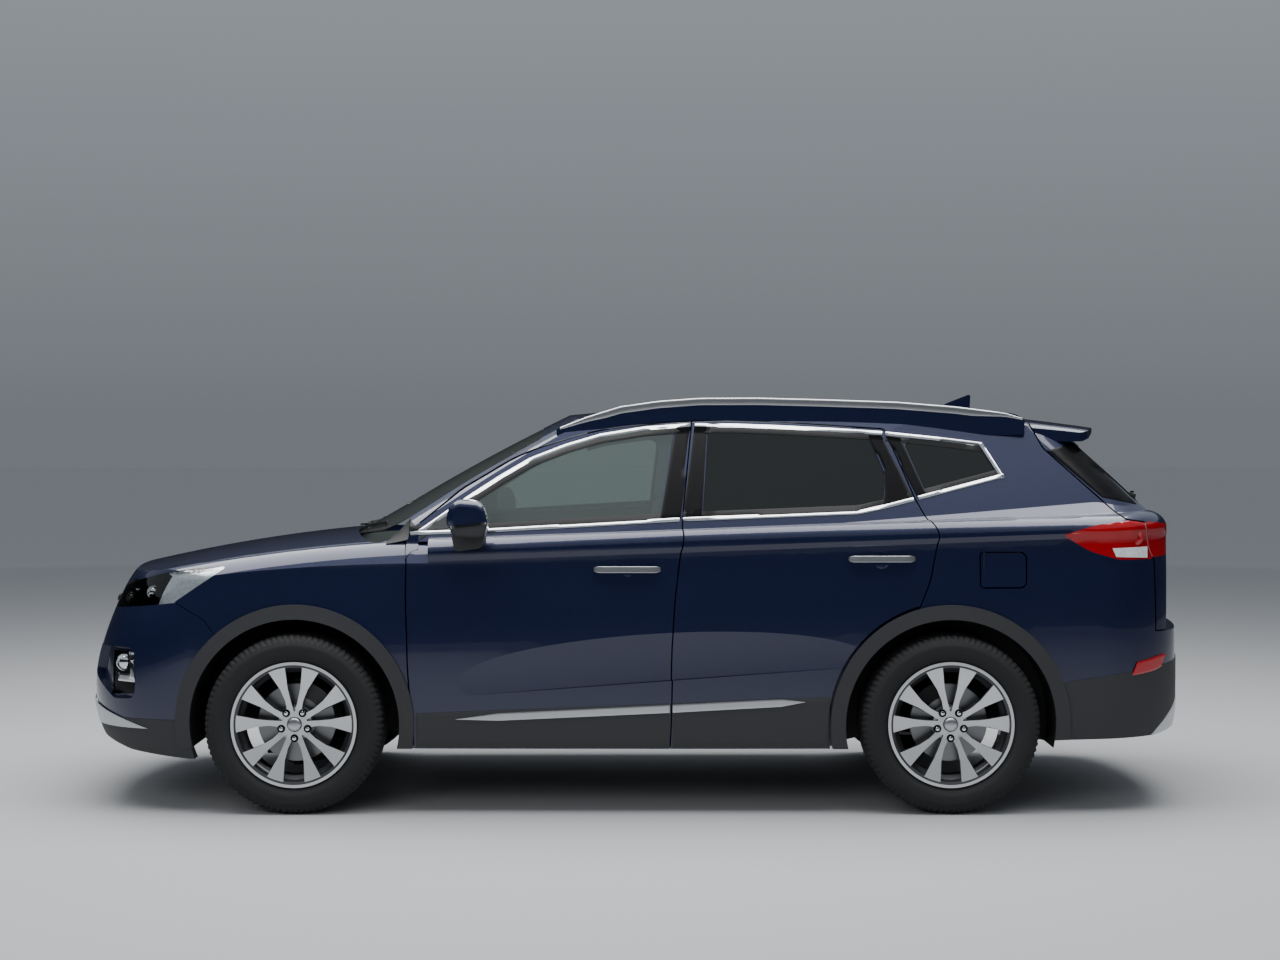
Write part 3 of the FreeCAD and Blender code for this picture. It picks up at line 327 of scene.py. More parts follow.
FINISH = {"body_paint": LACQUER, "black_plastic": GRAINED, "gloss_black": PIANO, "headlamp_lens": CLEAR_LENS,
          "tail_lens": RED_LENS, "clear_glass": GREEN_GLASS, "privacy_glass": DARK_GLASS, "satin_silver": SATIN,
          "machined_alloy": ALLOY, "tyre_rubber": RUBBER, "steel": CAST, "underbody": CHASSIS,
          "cabin_plastic": VINYL, "seat_cloth": CLOTH}
SLOT_OF = {paint.name: slot for slot, paint in FINISH.items()}
SLOT_OF.update({CHROME.name: "satin_silver", SEAL.name: "gloss_black", RED_RETRO.name: "tail_lens"})
for part in frame["record"]["subparts"]:
    node = NODES[part["node"]]
    node.data.materials.clear()
    node.data.materials.append(FINISH[part["material_slot"]])
print("finishes:", len(FINISH), "slots")

# %% [markdown]
# ## Tools for the trim
# Trim follows the body. A strip starts as a flat grid between an upper and a lower line, seen from the side.
# Each of its points is pushed against the car's skin, and a modifier then gives the strip its thickness.
# A ray that falls into a shut line goes too deep, so such a point takes the depth of its neighbours.

# %% Helpers for pieces
SHARP = math.radians(50)


def only(obj):
    deselect()
    obj.select_set(True)
    bpy.context.view_layer.objects.active = obj


def apply(obj, kind, **settings):
    only(obj)
    change = obj.modifiers.new(kind.lower(), kind)
    for key, value in settings.items():
        setattr(change, key, value)
    bpy.ops.object.modifier_apply(modifier=change.name)


def grid(across, down):
    """A unit square of that many cells each way."""
    return start_primitive(bpy.ops.mesh.primitive_grid_add, x_subdivisions=across, y_subdivisions=down, size=1)


def round_edges(obj, width, segments=3):
    """Rounds the edges that bend by more than SHARP."""
    apply(obj, "BEVEL", width=width, segments=segments, limit_method="ANGLE", angle_limit=SHARP)


def edit(obj, *steps):
    """Runs edit-mode steps, each with everything selected first."""
    only(obj)
    bpy.ops.object.mode_set(mode="EDIT")
    for operator, settings in steps:
        bpy.ops.mesh.select_all(action="SELECT")
        operator(**settings)
    bpy.ops.object.mode_set(mode="OBJECT")


def dress(obj, name, body, paint, slot=None, smooth=35.0):
    """Names a finished piece, paints it and lets it ride on its body. Its slot is its paint's unless given."""
    obj.name = name
    obj.data.materials.clear()
    obj.data.materials.append(paint)
    only(obj)
    bpy.ops.object.shade_smooth_by_angle(angle=math.radians(smooth))
    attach(obj, body)
    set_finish(obj, slot or SLOT_OF[paint.name])
    return obj


def flip(obj):
    """Turns a mesh into its mirror image across the car's middle."""
    obj.data.transform(Matrix.Scale(-1, 4, (0, 1, 0)))
    obj.data.flip_normals()


def other_side(obj):
    """The same piece on the car's right side, as a mirror image with its own mesh."""
    twin = new_object(obj.name.replace("left", "right"), obj.data.copy())
    flip(twin)
    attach(twin, obj["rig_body"].replace("left", "right"))
    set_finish(twin, obj["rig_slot"])
    return twin


def skin_of(*names):
    corners, faces = [], []
    for name in names:
        start, mesh = len(corners), NODES[name].data
        corners += [v.co.copy() for v in mesh.vertices]
        faces += [[start + i for i in face.vertices] for face in mesh.polygons]
    return BVHTree.FromPolygons(corners, faces)


LEFT_SKIN = skin_of("body_side_left", "door_fl", "door_rl", "front_wings", "front_bumper", "rear_bumper", "headlamps",
                    "tail_lamps", "tailgate", "tailgate_lamps", "glass_fl", "glass_rl", "quarter_glass", "bonnet",
                    "roof", "fuel_flap")


def depth_at(x, z, skin=LEFT_SKIN):
    hit = skin.ray_cast(Vector((x, -1.5, z)), Vector((0, 1, 0)))
    return hit[0].y if hit[0] is not None and hit[1].y < -0.15 else None


def along(path, share):
    """The point that lies that share of the way along a line of (x, z) points."""
    runs = [math.dist(a, b) for a, b in zip(path, path[1:])]
    left = share * sum(runs)
    for a, b, run in zip(path, path[1:], runs):
        if left <= run or b is path[-1]:
            part = min(left / run, 1.0) if run else 0.0
            return a[0] + (b[0] - a[0]) * part, a[1] + (b[1] - a[1]) * part
        left -= run


def between(path, x0, x1):
    """The stretch of a line from x0 to x1."""
    def at(x):
        for a, b in zip(path, path[1:]):
            if a[0] <= x <= b[0]:
                return x, a[1] + (b[1] - a[1]) * (x - a[0]) / (b[0] - a[0])
    return [at(x0)] + [p for p in path if x0 + 1e-4 < p[0] < x1 - 1e-4] + [at(x1)]


def beside(path, gap):
    """The same line moved sideways by gap, to the left of its run."""
    moved = []
    for i, point in enumerate(path):
        a, b = path[max(i - 1, 0)], path[min(i + 1, len(path) - 1)]
        run = math.dist(a, b)
        side = (-(b[1] - a[1]) / run, (b[0] - a[0]) / run)
        moved.append((point[0] + side[0] * gap, point[1] + side[1] * gap))
    return moved


def band(low, high, steps, rows=3, thick=2.0, lift=0.0, bevel=0.8, skin=LEFT_SKIN, ends_only=False, rise=None):
    """A strip between two side-view lines, laid on the skin, lift mm off it and thick mm through."""
    obj = grid(steps, rows)
    cells = {}
    for v in obj.data.vertices:
        i, j = round((v.co.x + 0.5) * steps), round((v.co.y + 0.5) * rows)
        a, b = along(low, i / steps), along(high, i / steps)
        x, z = a[0] + (b[0] - a[0]) * j / rows, a[1] + (b[1] - a[1]) * j / rows
        cells[i, j] = [v.index, x, z, depth_at(x, z, skin)]
    if ends_only:
        for j in range(rows + 1):
            first, last = cells[0, j][3], cells[steps, j][3]
            for i in range(steps + 1):
                cells[i, j][3] = first + (last - first) * i / steps
    for (i, j), (index, x, z, y) in cells.items():
        near = sorted(cells[i + di, j + dj][3] for di in (-2, -1, 0, 1, 2) for dj in (-1, 0, 1)
                      if (i + di, j + dj) in cells and cells[i + di, j + dj][3] is not None)
        middle = near[len(near) // 2] if near else -0.85
        if y is None or y > middle + 0.004:
            y = middle
        raised = lift + (rise(i / steps) if rise else 0.0)
        obj.data.vertices[index].co = (x, y - raised * MM, z)
    if sum(face.normal.y * face.area for face in obj.data.polygons) > 0:
        obj.data.flip_normals()
    apply(obj, "SOLIDIFY", thickness=thick * MM, offset=1.0, use_even_offset=False)
    if bevel:
        round_edges(obj, bevel * MM, 2)
    return obj


def panel_skin(node, planes, keep, thick, lift, inward=0.0):
    """A layer over a CAD panel: the faces that keep(middle, normal) picks, cut off by planes, with a thickness."""
    obj = new_object(node + "_skin", NODES[node].data.copy())
    only(obj)
    bpy.ops.mesh.customdata_custom_splitnormals_clear()
    edit(obj, (bpy.ops.mesh.remove_doubles, {"threshold": 1e-5}),
         *[(bpy.ops.mesh.bisect, {"plane_co": place, "plane_no": facing, "clear_outer": True, "use_fill": False})
           for place, facing in planes])
    shape = bmesh.new()
    shape.from_mesh(obj.data)
    loose = [face for face in shape.faces if not keep(face.calc_center_median(), face.normal)]
    bmesh.ops.delete(shape, geom=loose, context="FACES")
    shape.normal_update()
    for v in shape.verts:
        v.co += v.normal * (lift - inward) * MM
    shape.to_mesh(obj.data)
    shape.free()
    apply(obj, "SOLIDIFY", thickness=thick * MM, offset=1.0, use_even_offset=False)
    return obj


def turned(profile, centre, steps=96, axis="Y"):
    """A body of revolution about an axis through centre, from (radius, along) points in metres."""
    obj = start_primitive(bpy.ops.mesh.primitive_circle_add, vertices=len(profile), radius=0.1, fill_type="NOTHING")
    for v, (radius, height) in zip(obj.data.vertices, profile):
        v.co = (radius, height, 0) if axis == "Y" else (height, radius, 0)
    turn = (0, 1, 0) if axis == "Y" else (1, 0, 0)
    edit(obj, (bpy.ops.mesh.spin, {"steps": steps, "angle": 2 * math.pi, "center": (0, 0, 0), "axis": turn}),
         (bpy.ops.mesh.remove_doubles, {"threshold": 1e-5}), (bpy.ops.mesh.normals_make_consistent, {"inside": False}))
    obj.data.transform(Matrix.Translation(centre))
    return obj


def quilt(rows, toward, thick=0.0):
    """A sheet through rows of points whose front looks toward a direction, thick metres through."""
    across, down = len(rows[0]) - 1, len(rows) - 1
    obj = grid(across, down)
    for v in obj.data.vertices:
        v.co = rows[round((v.co.y + 0.5) * down)][round((v.co.x + 0.5) * across)]
    obj.data.update()
    if sum(face.normal.dot(Vector(toward)) * face.area for face in obj.data.polygons) < 0:
        obj.data.flip_normals()
    if thick:
        apply(obj, "SOLIDIFY", thickness=thick, offset=-1.0)
    return obj


def rod(points, wide, high, bevel):
    """A flat bar along points in space, with rounded edges."""
    corners = []
    for i, point in enumerate(points):
        run = (points[min(i + 1, len(points) - 1)] - points[max(i - 1, 0)]).normalized()
        side = run.cross(Vector((0, 0, 1))).normalized()
        corners.append((point, side * wide / 2, side.cross(run) * high / 2))
    round_it = ((-1, -1), (1, -1), (1, 1), (-1, 1), (-1, -1))
    rows = [[p + a * side + b * up for p, side, up in corners] for a, b in round_it]
    obj = quilt(rows, (0, 0, 1))
    edit(obj, (bpy.ops.mesh.remove_doubles, {"threshold": 1e-6}), (bpy.ops.mesh.fill_holes, {"sides": 4}),
         (bpy.ops.mesh.normals_make_consistent, {"inside": False}))
    round_edges(obj, bevel)
    return obj


# %% [markdown]
# ## Bright window line
# A 16 mm chrome moulding runs round all the side glass. Each door carries its own stretch, so the line opens
# with the door. Inside it lies the black rubber that seals the glass.

# %% Window mouldings and seals
BELT = [(-0.934, 1.1446), (-0.638, 1.155), (0.187, 1.203), (0.930, 1.232), (1.054, 1.259), (1.178, 1.290),
        (1.546, 1.383)]
ARCH = [(-0.934, 1.1446), (-0.886, 1.172), (-0.687, 1.311), (-0.560, 1.393), (-0.438, 1.464), (-0.290, 1.521),
        (-0.145, 1.564), (0.040, 1.594), (0.231, 1.608), (0.420, 1.6065), (0.607, 1.5995), (0.830, 1.588),
        (1.045, 1.574), (1.260, 1.552), (1.461, 1.527)]
TAIL_EDGE = [(1.546, 1.383), (1.461, 1.527)]
CHROME_W, SEAL_W = 0.016, 0.024
DOOR_F, DOOR_R, SIDE = "front_door_left", "rear_door_left", "body"
WINDOW_STRETCHES = [("front", DOOR_F, (-0.930, 0.185), (-0.930, 0.236)),
                    ("rear", DOOR_R, (0.200, 1.160), (0.254, 1.040)),
                    ("quarter", SIDE, (1.180, 1.544), (1.054, 1.459))]
# kind, metres inside the window line, width in metres, then thickness, lift and rounding in mm
EDGINGS = [("chrome", 0.0, CHROME_W, 2.4, 0.3, 0.8, CHROME), ("seal", CHROME_W - 0.002, SEAL_W, 1.2, 0.6, 0.3, SEAL)]
for label, body, foot, top in WINDOW_STRETCHES:
    for kind, inset, wide, *layer, paint in EDGINGS:
        low, high = beside(between(BELT, *foot), inset), beside(between(ARCH, *top), -inset)
        dress(band(low, beside(low, wide), 48, 2, *layer), "belt_%s_%s_left" % (kind, label), body, paint)
        dress(band(beside(high, -wide), high, 60, 2, *layer), "arch_%s_%s_left" % (kind, label), body, paint)
tail_chrome = band(TAIL_EDGE, beside(TAIL_EDGE, CHROME_W), 12, 2, 2.4, 0.3)
dress(tail_chrome, "tail_chrome_quarter_left", SIDE, CHROME)

# %% Black pillar covers
PILLARS = [("b_front", DOOR_F, [(0.172, 1.591), (0.106, 1.214)], [(0.240, 1.596), (0.190, 1.217)]),
           ("b_rear", DOOR_R, [(0.251, 1.596), (0.199, 1.217)], [(0.304, 1.595), (0.277, 1.219)]),
           ("c", DOOR_R, [(0.980, 1.561), (1.030, 1.430), (1.044, 1.390), (1.040, 1.320), (1.030, 1.262)],
            [(1.036, 1.558), (1.157, 1.296)]),
           ("d", SIDE, [(1.054, 1.556), (1.173, 1.302)], [(1.116, 1.547), (1.210, 1.316)])]
for label, body, front, rear in PILLARS:
    dress(band(front, rear, 24, 6, 1.6, 0.3, 0.5), "pillar_%s_left" % label, body, PIANO)

# %% [markdown]
# ## Sill, strip and handles
# Grained plastic covers the lower doors, because stones hit there first. A bright strip lies on it, and two
# chrome bars bridge the finger cups of the handles.

# %% Lower doors
SILL_TOP = [(-0.902, 0.417), (0.834, 0.487)]
SILL_FOOT = [(-0.902, 0.276), (0.834, 0.276)]
STRIP_LOW = [(-0.735, 0.3935), (-0.560, 0.389), (0.152, 0.4225), (0.600, 0.447), (0.700, 0.4655)]
STRIP_HIGH = [(-0.735, 0.3945), (-0.560, 0.420), (0.152, 0.4555), (0.600, 0.479), (0.700, 0.4665)]
for label, body, x0, x1 in (("front", DOOR_F, -0.899, 0.1440), ("rear", DOOR_R, 0.1560, 0.8000)):
    sill = band(between(SILL_FOOT, x0, x1), between(SILL_TOP, x0, x1), 60, 8, 5.0, 0.3, 1.5)
    dress(sill, "sill_cladding_%s_left" % label, body, GRAINED)
    a, b = max(x0, STRIP_LOW[0][0]), min(x1, STRIP_LOW[-1][0])
    strip = band(between(STRIP_LOW, a, b), between(STRIP_HIGH, a, b), 60, 4, 3.5, 5.0, 1.2)
    dress(strip, "sill_strip_%s_left" % label, body, SATIN)

HANDLE_LEN, HANDLE_H, HANDLE_T, HANDLE_RISE, HANDLE_ROUND = 0.262, 0.027, 11.0, 17.0, 0.0105
for label, body, x, z in (("front", DOOR_F, -0.030, 1.009), ("rear", DOOR_R, 1.016, 1.052)):
    half, h = HANDLE_LEN / 2, HANDLE_H / 2
    shape = [(-half, h * 0.6), (-half * 0.9, h), (half * 0.9, h), (half, h * 0.6)]
    low, high = [(x + dx, z - dz) for dx, dz in shape], [(x + dx, z + dz) for dx, dz in shape]
    bar = band(low, high, 32, 6, HANDLE_T, 0.3, 0, ends_only=True,
               rise=lambda u: HANDLE_RISE * min(1.0, 9.0 * min(u, 1 - u)) ** 0.7)
    round_edges(bar, HANDLE_ROUND, 5)
    dress(bar, "door_handle_%s_left" % label, body, SATIN, smooth=70)

# %% [markdown]
# The corner ahead of the front side glass is a plastic triangle that carries the mirror. The mirror itself has
# a painted cap, a clear strip for the turn signal and a silvered glass that looks back.

# %% Mirror and its corner
sail = band([(-0.900, 1.163), (-0.665, 1.171)], [(-0.900, 1.166), (-0.665, 1.302)], 16, 8, 1.6, 0.6, 0.4)
dress(sail, "mirror_corner_left", DOOR_F, GRAINED)
CAP_LINE, CAP_SLOPE = Vector((-0.676, -1.0, 1.203)), 0.116
cap_down = Vector((CAP_SLOPE, 0, -1)).normalized()
cap = panel_skin("mirror_l", [(CAP_LINE, cap_down)], lambda c, n: c.y < -0.945 and n.x < 0.75, 1.8, 0.2)
dress(cap, "mirror_cap_left", DOOR_F, LACQUER, smooth=50)
strip_top = panel_skin("mirror_l", [(CAP_LINE, -cap_down), (CAP_LINE - Vector((0, 0, 0.011)), cap_down)],
                       lambda c, n: n.y < -0.35, 2.4, 0.2)
dress(strip_top, "mirror_signal_left", DOOR_F, CLEAR_LENS, smooth=50)
back = panel_skin("mirror_l", [(Vector((-0.6, -0.960, 1.2)), Vector((0, 1, 0)))], lambda c, n: n.x > 0.8, 0.8, 0.3)
dress(back, "mirror_glass_left", DOOR_F, MIRROR_GLASS, "satin_silver")

# %% [markdown]
# Ahead of its hinge the door's shoulder is rounded, so that it turns inside its opening. The body fills that
# corner up to the swept circle. Above it, black rubber closes the space between wing, glass and pillar.

# %% Pillar foot and cowl
AXIS_X, AXIS_Y, SWEEP, SWEEP_GAP = -0.894, -0.910, 0.0620, 0.0015
FOOT_FRONT, FOOT_BEND_Z, FOOT_LEAN = -0.9445, 1.120, 0.45
FOOT_ROWS = [(1.050, -0.872), (1.060, -0.8665), (1.070, -0.860), (1.080, -0.8535), (1.090, -0.845),
             (1.100, -0.834), (1.110, -0.822), (1.120, -0.8195), (1.132, -0.818), (1.143, -0.816)]  # z, y
rows = []
for z, y in FOOT_ROWS:
    reach = AXIS_X - math.sqrt(max(0.0, SWEEP ** 2 - (y - AXIS_Y) ** 2)) - SWEEP_GAP
    front = FOOT_FRONT + max(0.0, z - FOOT_BEND_Z) * FOOT_LEAN
    rows.append([Vector((front + (reach - front) * i / 8, y, z)) for i in range(9)])
dress(quilt(rows, (0, -1, 0), 0.020), "pillar_foot_left", "body", LACQUER)

COWL_X, COWL_LEN = -1.030, 0.092
COWL_ROWS = [(-0.685, 1.1225, 1.214), (-0.720, 1.1225, 1.207), (-0.750, 1.1225, 1.190), (-0.775, 1.1215, 1.165),
             (-0.798, 1.118, 1.140), (-0.818, 1.110, 1.128)]  # y, z in front, z at the rear
rows = [[Vector((COWL_X + COWL_LEN * i / 8, y, front + (rear - front) * (i / 8) ** 1.2)) for i in range(9)]
        for y, front, rear in COWL_ROWS]
dress(quilt(rows, (0, 0, 1), 0.003), "cowl_end_left", "body", SEAL, "black_plastic")
cover = panel_skin("bulkhead", (), lambda c, n: n.z > 0.8 and c.z > 1.02, 1.5, 0.5)
dress(cover, "cowl_screen", "body", GRAINED)

# %% [markdown]
# Two wipers rest along the foot of the windscreen. Each is an arm on the cowl and a rubber blade on the glass.

# %% Front wipers
SCREEN = skin_of("windscreen")


def on_screen(y, up, lift):
    """A point on the windscreen, up metres behind its foot at that y and lift metres off the glass."""
    def hit(x):
        return SCREEN.ray_cast(Vector((x, y, 2)), Vector((0, 0, -1)))[0]
    foot = next(-1.4 + 0.005 * i for i in range(120) if hit(-1.4 + 0.005 * i))
    return hit(foot + up) + Vector((-0.5, 0, 0.87)) * lift


for label, y0, y1, pivot in (("driver", -0.58, 0.00, 0.05), ("passenger", 0.07, 0.57, 0.60)):
    ys = [y0 + (y1 - y0) * i / 12 for i in range(13)]
    blade = rod([on_screen(y, 0.045, 0.010) for y in ys], 0.008, 0.014, 0.002)
    dress(blade, "wiper_blade_" + label, "body", SEAL)
    middle = (y0 + y1) / 2
    path = [on_screen(pivot + (middle - pivot) * t, 0.010 + 0.035 * t, 0.022 - 0.004 * t)
            for t in (0, 0.25, 0.5, 0.75, 1)]
    dress(rod(path, 0.014, 0.007, 0.002), "wiper_arm_" + label, "body", PIANO)

# %% [markdown]
# ## Bumpers
# Below the paint, both bumpers end in the same grained plastic as the sills. The layers come from the bumper's
# own skin, cut by planes along the edges seen in the photograph, so they wrap round the corners with it.

# %% Cladding and skid plates
def plane(a, b, keep_below=True):
    """A cutting plane through two side-view points that clears what lies above it, or below it."""
    run = Vector((b[0] - a[0], 0, b[1] - a[1]))
    up = Vector((-run.z, 0, run.x)).normalized()
    up = up if up.z > 0 else -up
    return Vector((a[0], 0, a[1])), up if keep_below else -up


def outside(c, n):
    """Whether a bumper's face, with middle c and normal n, looks outward."""
    return n.y * c.y > 0.02 or abs(n.x) > 0.3 and n.x * c.x > 0


for end, edge in (("front", ((-2.40, 0.386), (-1.50, 0.386))), ("rear", ((1.70, 0.5356), (2.17, 0.601)))):
    layer = panel_skin(end + "_bumper", [plane(*edge)], outside, 4.0, 0.3)
    dress(layer, end + "_lower_cladding", "body", GRAINED)
BLADE_CUTS = [plane((-2.36, 0.455), (-2.03, 0.354)), plane((-2.36, 0.345), (-2.03, 0.348), False)]
WEDGE_CUTS = [plane((2.135, 0.312), (2.318, 0.479))]
for node, cuts, name in (("front_bumper", BLADE_CUTS, "front_skid_blade"),
                         ("rear_bumper", WEDGE_CUTS, "rear_skid_wedge")):
    dress(panel_skin(node, cuts, outside, 3.0, 4.6), name, "body", SATIN)
RETRO_LOW = [(2.047, 0.570), (2.100, 0.577), (2.150, 0.585), (2.188, 0.600)]
RETRO_HIGH = [(2.072, 0.625), (2.120, 0.635), (2.170, 0.646), (2.212, 0.652)]
dress(band(RETRO_LOW, RETRO_HIGH, 24, 6, 4.0, 3.0, 1.5), "rear_reflector_left", "body", RED_RETRO)

# %% [markdown]
# A fog lamp sits in the dark pocket of the front bumper, with an L of bright trim. The front plate is a blank:
# a thin pressed sheet in a black holder.

# %% Fog lamp and plate
NOSE_SKIN = skin_of("front_bumper")
FOG_AREA = [(-2.19, 0.476), (-2.082, 0.486)], [(-2.19, 0.655), (-2.078, 0.664)]
dress(band(*FOG_AREA, 16, 12, 1.5, 0.5, 0.4), "fog_pocket_left", "body", PIANO)
dress(band([(-2.100, 0.545), (-2.070, 0.545)], [(-2.104, 0.655), (-2.074, 0.660)], 4, 10, 14.0, 2.0, 2.0),
      "fog_trim_upright_left", "body", CHROME)
dress(band([(-2.158, 0.534), (-2.070, 0.534)], [(-2.158, 0.566), (-2.070, 0.566)], 10, 4, 12.0, 2.0, 2.0),
      "fog_trim_level_left", "body", CHROME)
fog_y = depth_at(-2.128, 0.615) or -0.72
fog = turned([(0.0, -0.014), (0.016, -0.012), (0.026, -0.006), (0.031, 0.0), (0.034, -0.008), (0.036, -0.006),
              (0.036, 0.012), (0.0, 0.012)], (-2.128, fog_y - 0.004, 0.612), 48)
dress(fog, "fog_lamp_left", "body", CHROME, "headlamp_lens")

PLATE_W, PLATE_H, PLATE_Z = 0.305, 0.152, 0.475
nose_x = min((NOSE_SKIN.ray_cast(Vector((-3, y, PLATE_Z + dz)), Vector((1, 0, 0)))[0] or Vector((-2.35, 0, 0))).x
             for y in (-0.14, 0.0, 0.14) for dz in (-0.07, 0.0, 0.07))


def plate(name, grow, x, depth, paint, slot=None):
    obj = start_primitive(bpy.ops.mesh.primitive_cube_add, size=1, location=(x, 0, PLATE_Z))
    obj.scale = (depth, PLATE_W + grow, PLATE_H + grow)
    bpy.ops.object.transform_apply(location=True, rotation=True, scale=True)
    apply(obj, "BEVEL", width=depth * 0.4, segments=3)
    dress(obj, name, "body", paint, slot)


plate("plate_holder", 0.018, nose_x - 0.001, 0.008, GRAINED)
plate("plate_blank", 0.0, nose_x - 0.0055, 0.0025, NUMBERLESS, "satin_silver")

# %% [markdown]
# ## Lamps
# A lamp unit is a clear lens in front of a bright bucket. The lens is the lamp's own skin. The bucket is the same
# skin moved inward, so that the depth between them is right from any side.

# %% Lamp units
BUCKET = finish("vacuum_silvered_reflector", "#dfe3e6", "#f4f6f8", 14.0, 1.2, Metallic=0.25, Roughness=0.22)
LAMP_DARK = finish("dark_lamp_bezel", "#101012", "#18181a", 5.0, 0.2, Roughness=0.3, Coat_Weight=0.5)
LENS_T, LENS_IN, SHELL_LIFT = 2.0, 2.2, 0.2


def lamp(node, side, body, lens, thick, depth):
    """A lens, which is the lamp's own skin, and behind it a bucket thick mm through and depth mm in."""
    sign = -1 if side == "left" else 1

    def shown(c, n):
        return c.y * sign > 0 and (n.y * sign > 0.25 or n.x * c.x > 0.4 or n.z > 0.45)

    bucket = panel_skin(node, (), shown, thick, SHELL_LIFT, depth)
    dress(bucket, "%s_bucket_%s" % (node[:-1], side), body, BUCKET, SLOT_OF[lens.name], 50)
    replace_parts(bucket, node)
    front = panel_skin(node, (), shown, LENS_T, SHELL_LIFT, LENS_IN)
    dress(front, "%s_lens_%s" % (node[:-1], side), body, lens, smooth=50)


lamp("headlamps", "left", "body", CLEAR_LENS, 1.5, 17.0)
CHAMBER_LOW = [(-2.225, 0.848), (-2.150, 0.838), (-2.060, 0.842)]
CHAMBER_HIGH = [(-2.235, 0.868), (-2.150, 0.899), (-2.085, 0.914)]
HEAD_SKIN = skin_of("headlamps")
chamber = band(CHAMBER_LOW, CHAMBER_HIGH, 20, 8, 1.5, -16.0, 0.4, skin=HEAD_SKIN)
dress(chamber, "headlamp_chamber_left", "body", LAMP_DARK, "gloss_black")
BLADE_LINES = [(-2.092, 0.915), (-2.020, 0.858)], [(-2.072, 0.920), (-1.992, 0.862)]
dress(band(*BLADE_LINES, 16, 3, 5.0, -14.0, 1.0, skin=HEAD_SKIN), "headlamp_blade_left", "body", CHROME)
EYE = [(0.0, -0.012), (0.5, -0.010), (0.8, -0.004), (0.9, 0.0), (0.95, -0.007), (1.1, -0.007), (1.15, 0.006),
       (0.0, 0.006)]  # radius as a share, metres along
for label, x, z, radius in (("low", -1.999, 0.906, 0.026), ("high", -2.112, 0.878, 0.020)):
    y = (depth_at(x, z, HEAD_SKIN) or -0.8) + 0.016
    eye = turned([(radius * share, deep) for share, deep in EYE], (x, y, z), 40)
    dress(eye, "headlamp_%s_beam_left" % label, "body", CHROME if label == "low" else LAMP_DARK, "headlamp_lens")

lamp("tail_lamps", "left", "body", RED_LENS, 1.5, 13.0)
TAIL_SKIN = skin_of("tail_lamps", "tailgate_lamps")
ring_at = (2.070, 1.138)
ring_y = (depth_at(*ring_at, TAIL_SKIN) or -0.76) + 0.009
ring = turned([(0.018, -0.004), (0.026, -0.008), (0.034, -0.004), (0.036, 0.006), (0.016, 0.006)],
              (ring_at[0], ring_y, ring_at[1]), 48)
dress(ring, "tail_lamp_ring_left", "body", RED_RETRO)
dress(band([(1.985, 1.058), (2.126, 1.052)], [(1.968, 1.094), (2.126, 1.098)], 20, 6, 2.0, 0.6, 0.6, skin=TAIL_SKIN),
      "tail_lamp_clear_left", "body", BUCKET, "headlamp_lens")
for side in ("left", "right"):
    lamp("tailgate_lamps", side, "tailgate", RED_LENS, 1.0, 7.0)

# %% [markdown]
# ## Wheels
# The tread is spun from one half-section with four grooves round the tyre. Ninety notches across each shoulder
# then cut it into blocks. Each wheel also gets five nuts, a domed cap and an iron disc behind the spokes.

# %% Tyres, discs, nuts and caps
WHEELS = {"fl": ("wheel_front_left", -1.400, -1), "fr": ("wheel_front_right", -1.400, 1),
          "rl": ("wheel_rear_left", 1.300, -1), "rr": ("wheel_rear_right", 1.300, 1)}
TRACK_HALF, TYRE_R = 0.810, 0.3705
BLOCKS, PER_BLOCK, NOTCH, SHOULDER_R, SHOULDER_Y = 90, 5, 0.0055, 0.3505, 0.0575
wall = [(0.2415, 0.0930), (0.2590, 0.0975), (0.2640, 0.1020), (0.2760, 0.1085), (0.2840, 0.1120), (0.2860, 0.1135),
        (0.3000, 0.1160), (0.3200, 0.1172), (0.3300, 0.1168), (0.3320, 0.1155), (0.3440, 0.1130), (0.3520, 0.1085)]
tread = [(0.3600, 0.1020), (0.3665, 0.0930), (0.3690, 0.0800), (0.3700, 0.0570), (0.3635, 0.0560), (0.3635, 0.0480),
         (0.3702, 0.0470), (0.3705, 0.0230), (0.3640, 0.0220), (0.3640, 0.0140), (0.3705, 0.0130)]
half = wall + tread
profile = [(r, -y) for r, y in half] + [(r, y) for r, y in reversed(half)]
model = turned(profile, (0, 0, 0), BLOCKS * PER_BLOCK)
for v in model.data.vertices:
    radius = math.hypot(v.co.x, v.co.z)
    step = round(math.atan2(v.co.x, v.co.z) / (2 * math.pi) * BLOCKS * PER_BLOCK) % PER_BLOCK
    if step < 2 and radius > SHOULDER_R and abs(v.co.y) > SHOULDER_Y:
        v.co.x *= 1 - NOTCH / radius
        v.co.z *= 1 - NOTCH / radius
nut = start_primitive(bpy.ops.mesh.primitive_cylinder_add, vertices=6, radius=0.0092, depth=0.010,
                      rotation=(math.radians(90), 0, 0))
bpy.ops.object.transform_apply(location=True, rotation=True, scale=True)
apply(nut, "BEVEL", width=0.0016, segments=3)
# a thin gloss black disc under each nut: painted shade of the nut's bore
bore_shade_disc = turned([(0.0, -0.0006), (0.0125, -0.0006), (0.0150, -0.0016), (0.0165, -0.0004), (0.0165, 0.0012),
              (0.0, 0.0012)], (0, 0, 0), 32)
disc = turned([(0.062, -0.030), (0.068, -0.034), (0.074, -0.030), (0.076, -0.012), (0.160, -0.012), (0.161, -0.010),
               (0.161, 0.010), (0.160, 0.012), (0.062, 0.012)], (0, 0, 0), 96)
dome = turned([(0.0, -0.0985), (0.012, -0.0980), (0.0205, -0.0962), (0.0255, -0.0935), (0.0275, -0.0905),
               (0.0275, -0.0885), (0.0, -0.0885)], (0, 0, 0), 48)
NUTS, NUT_R, DISH_FACE = 5, 0.05715, -0.0820


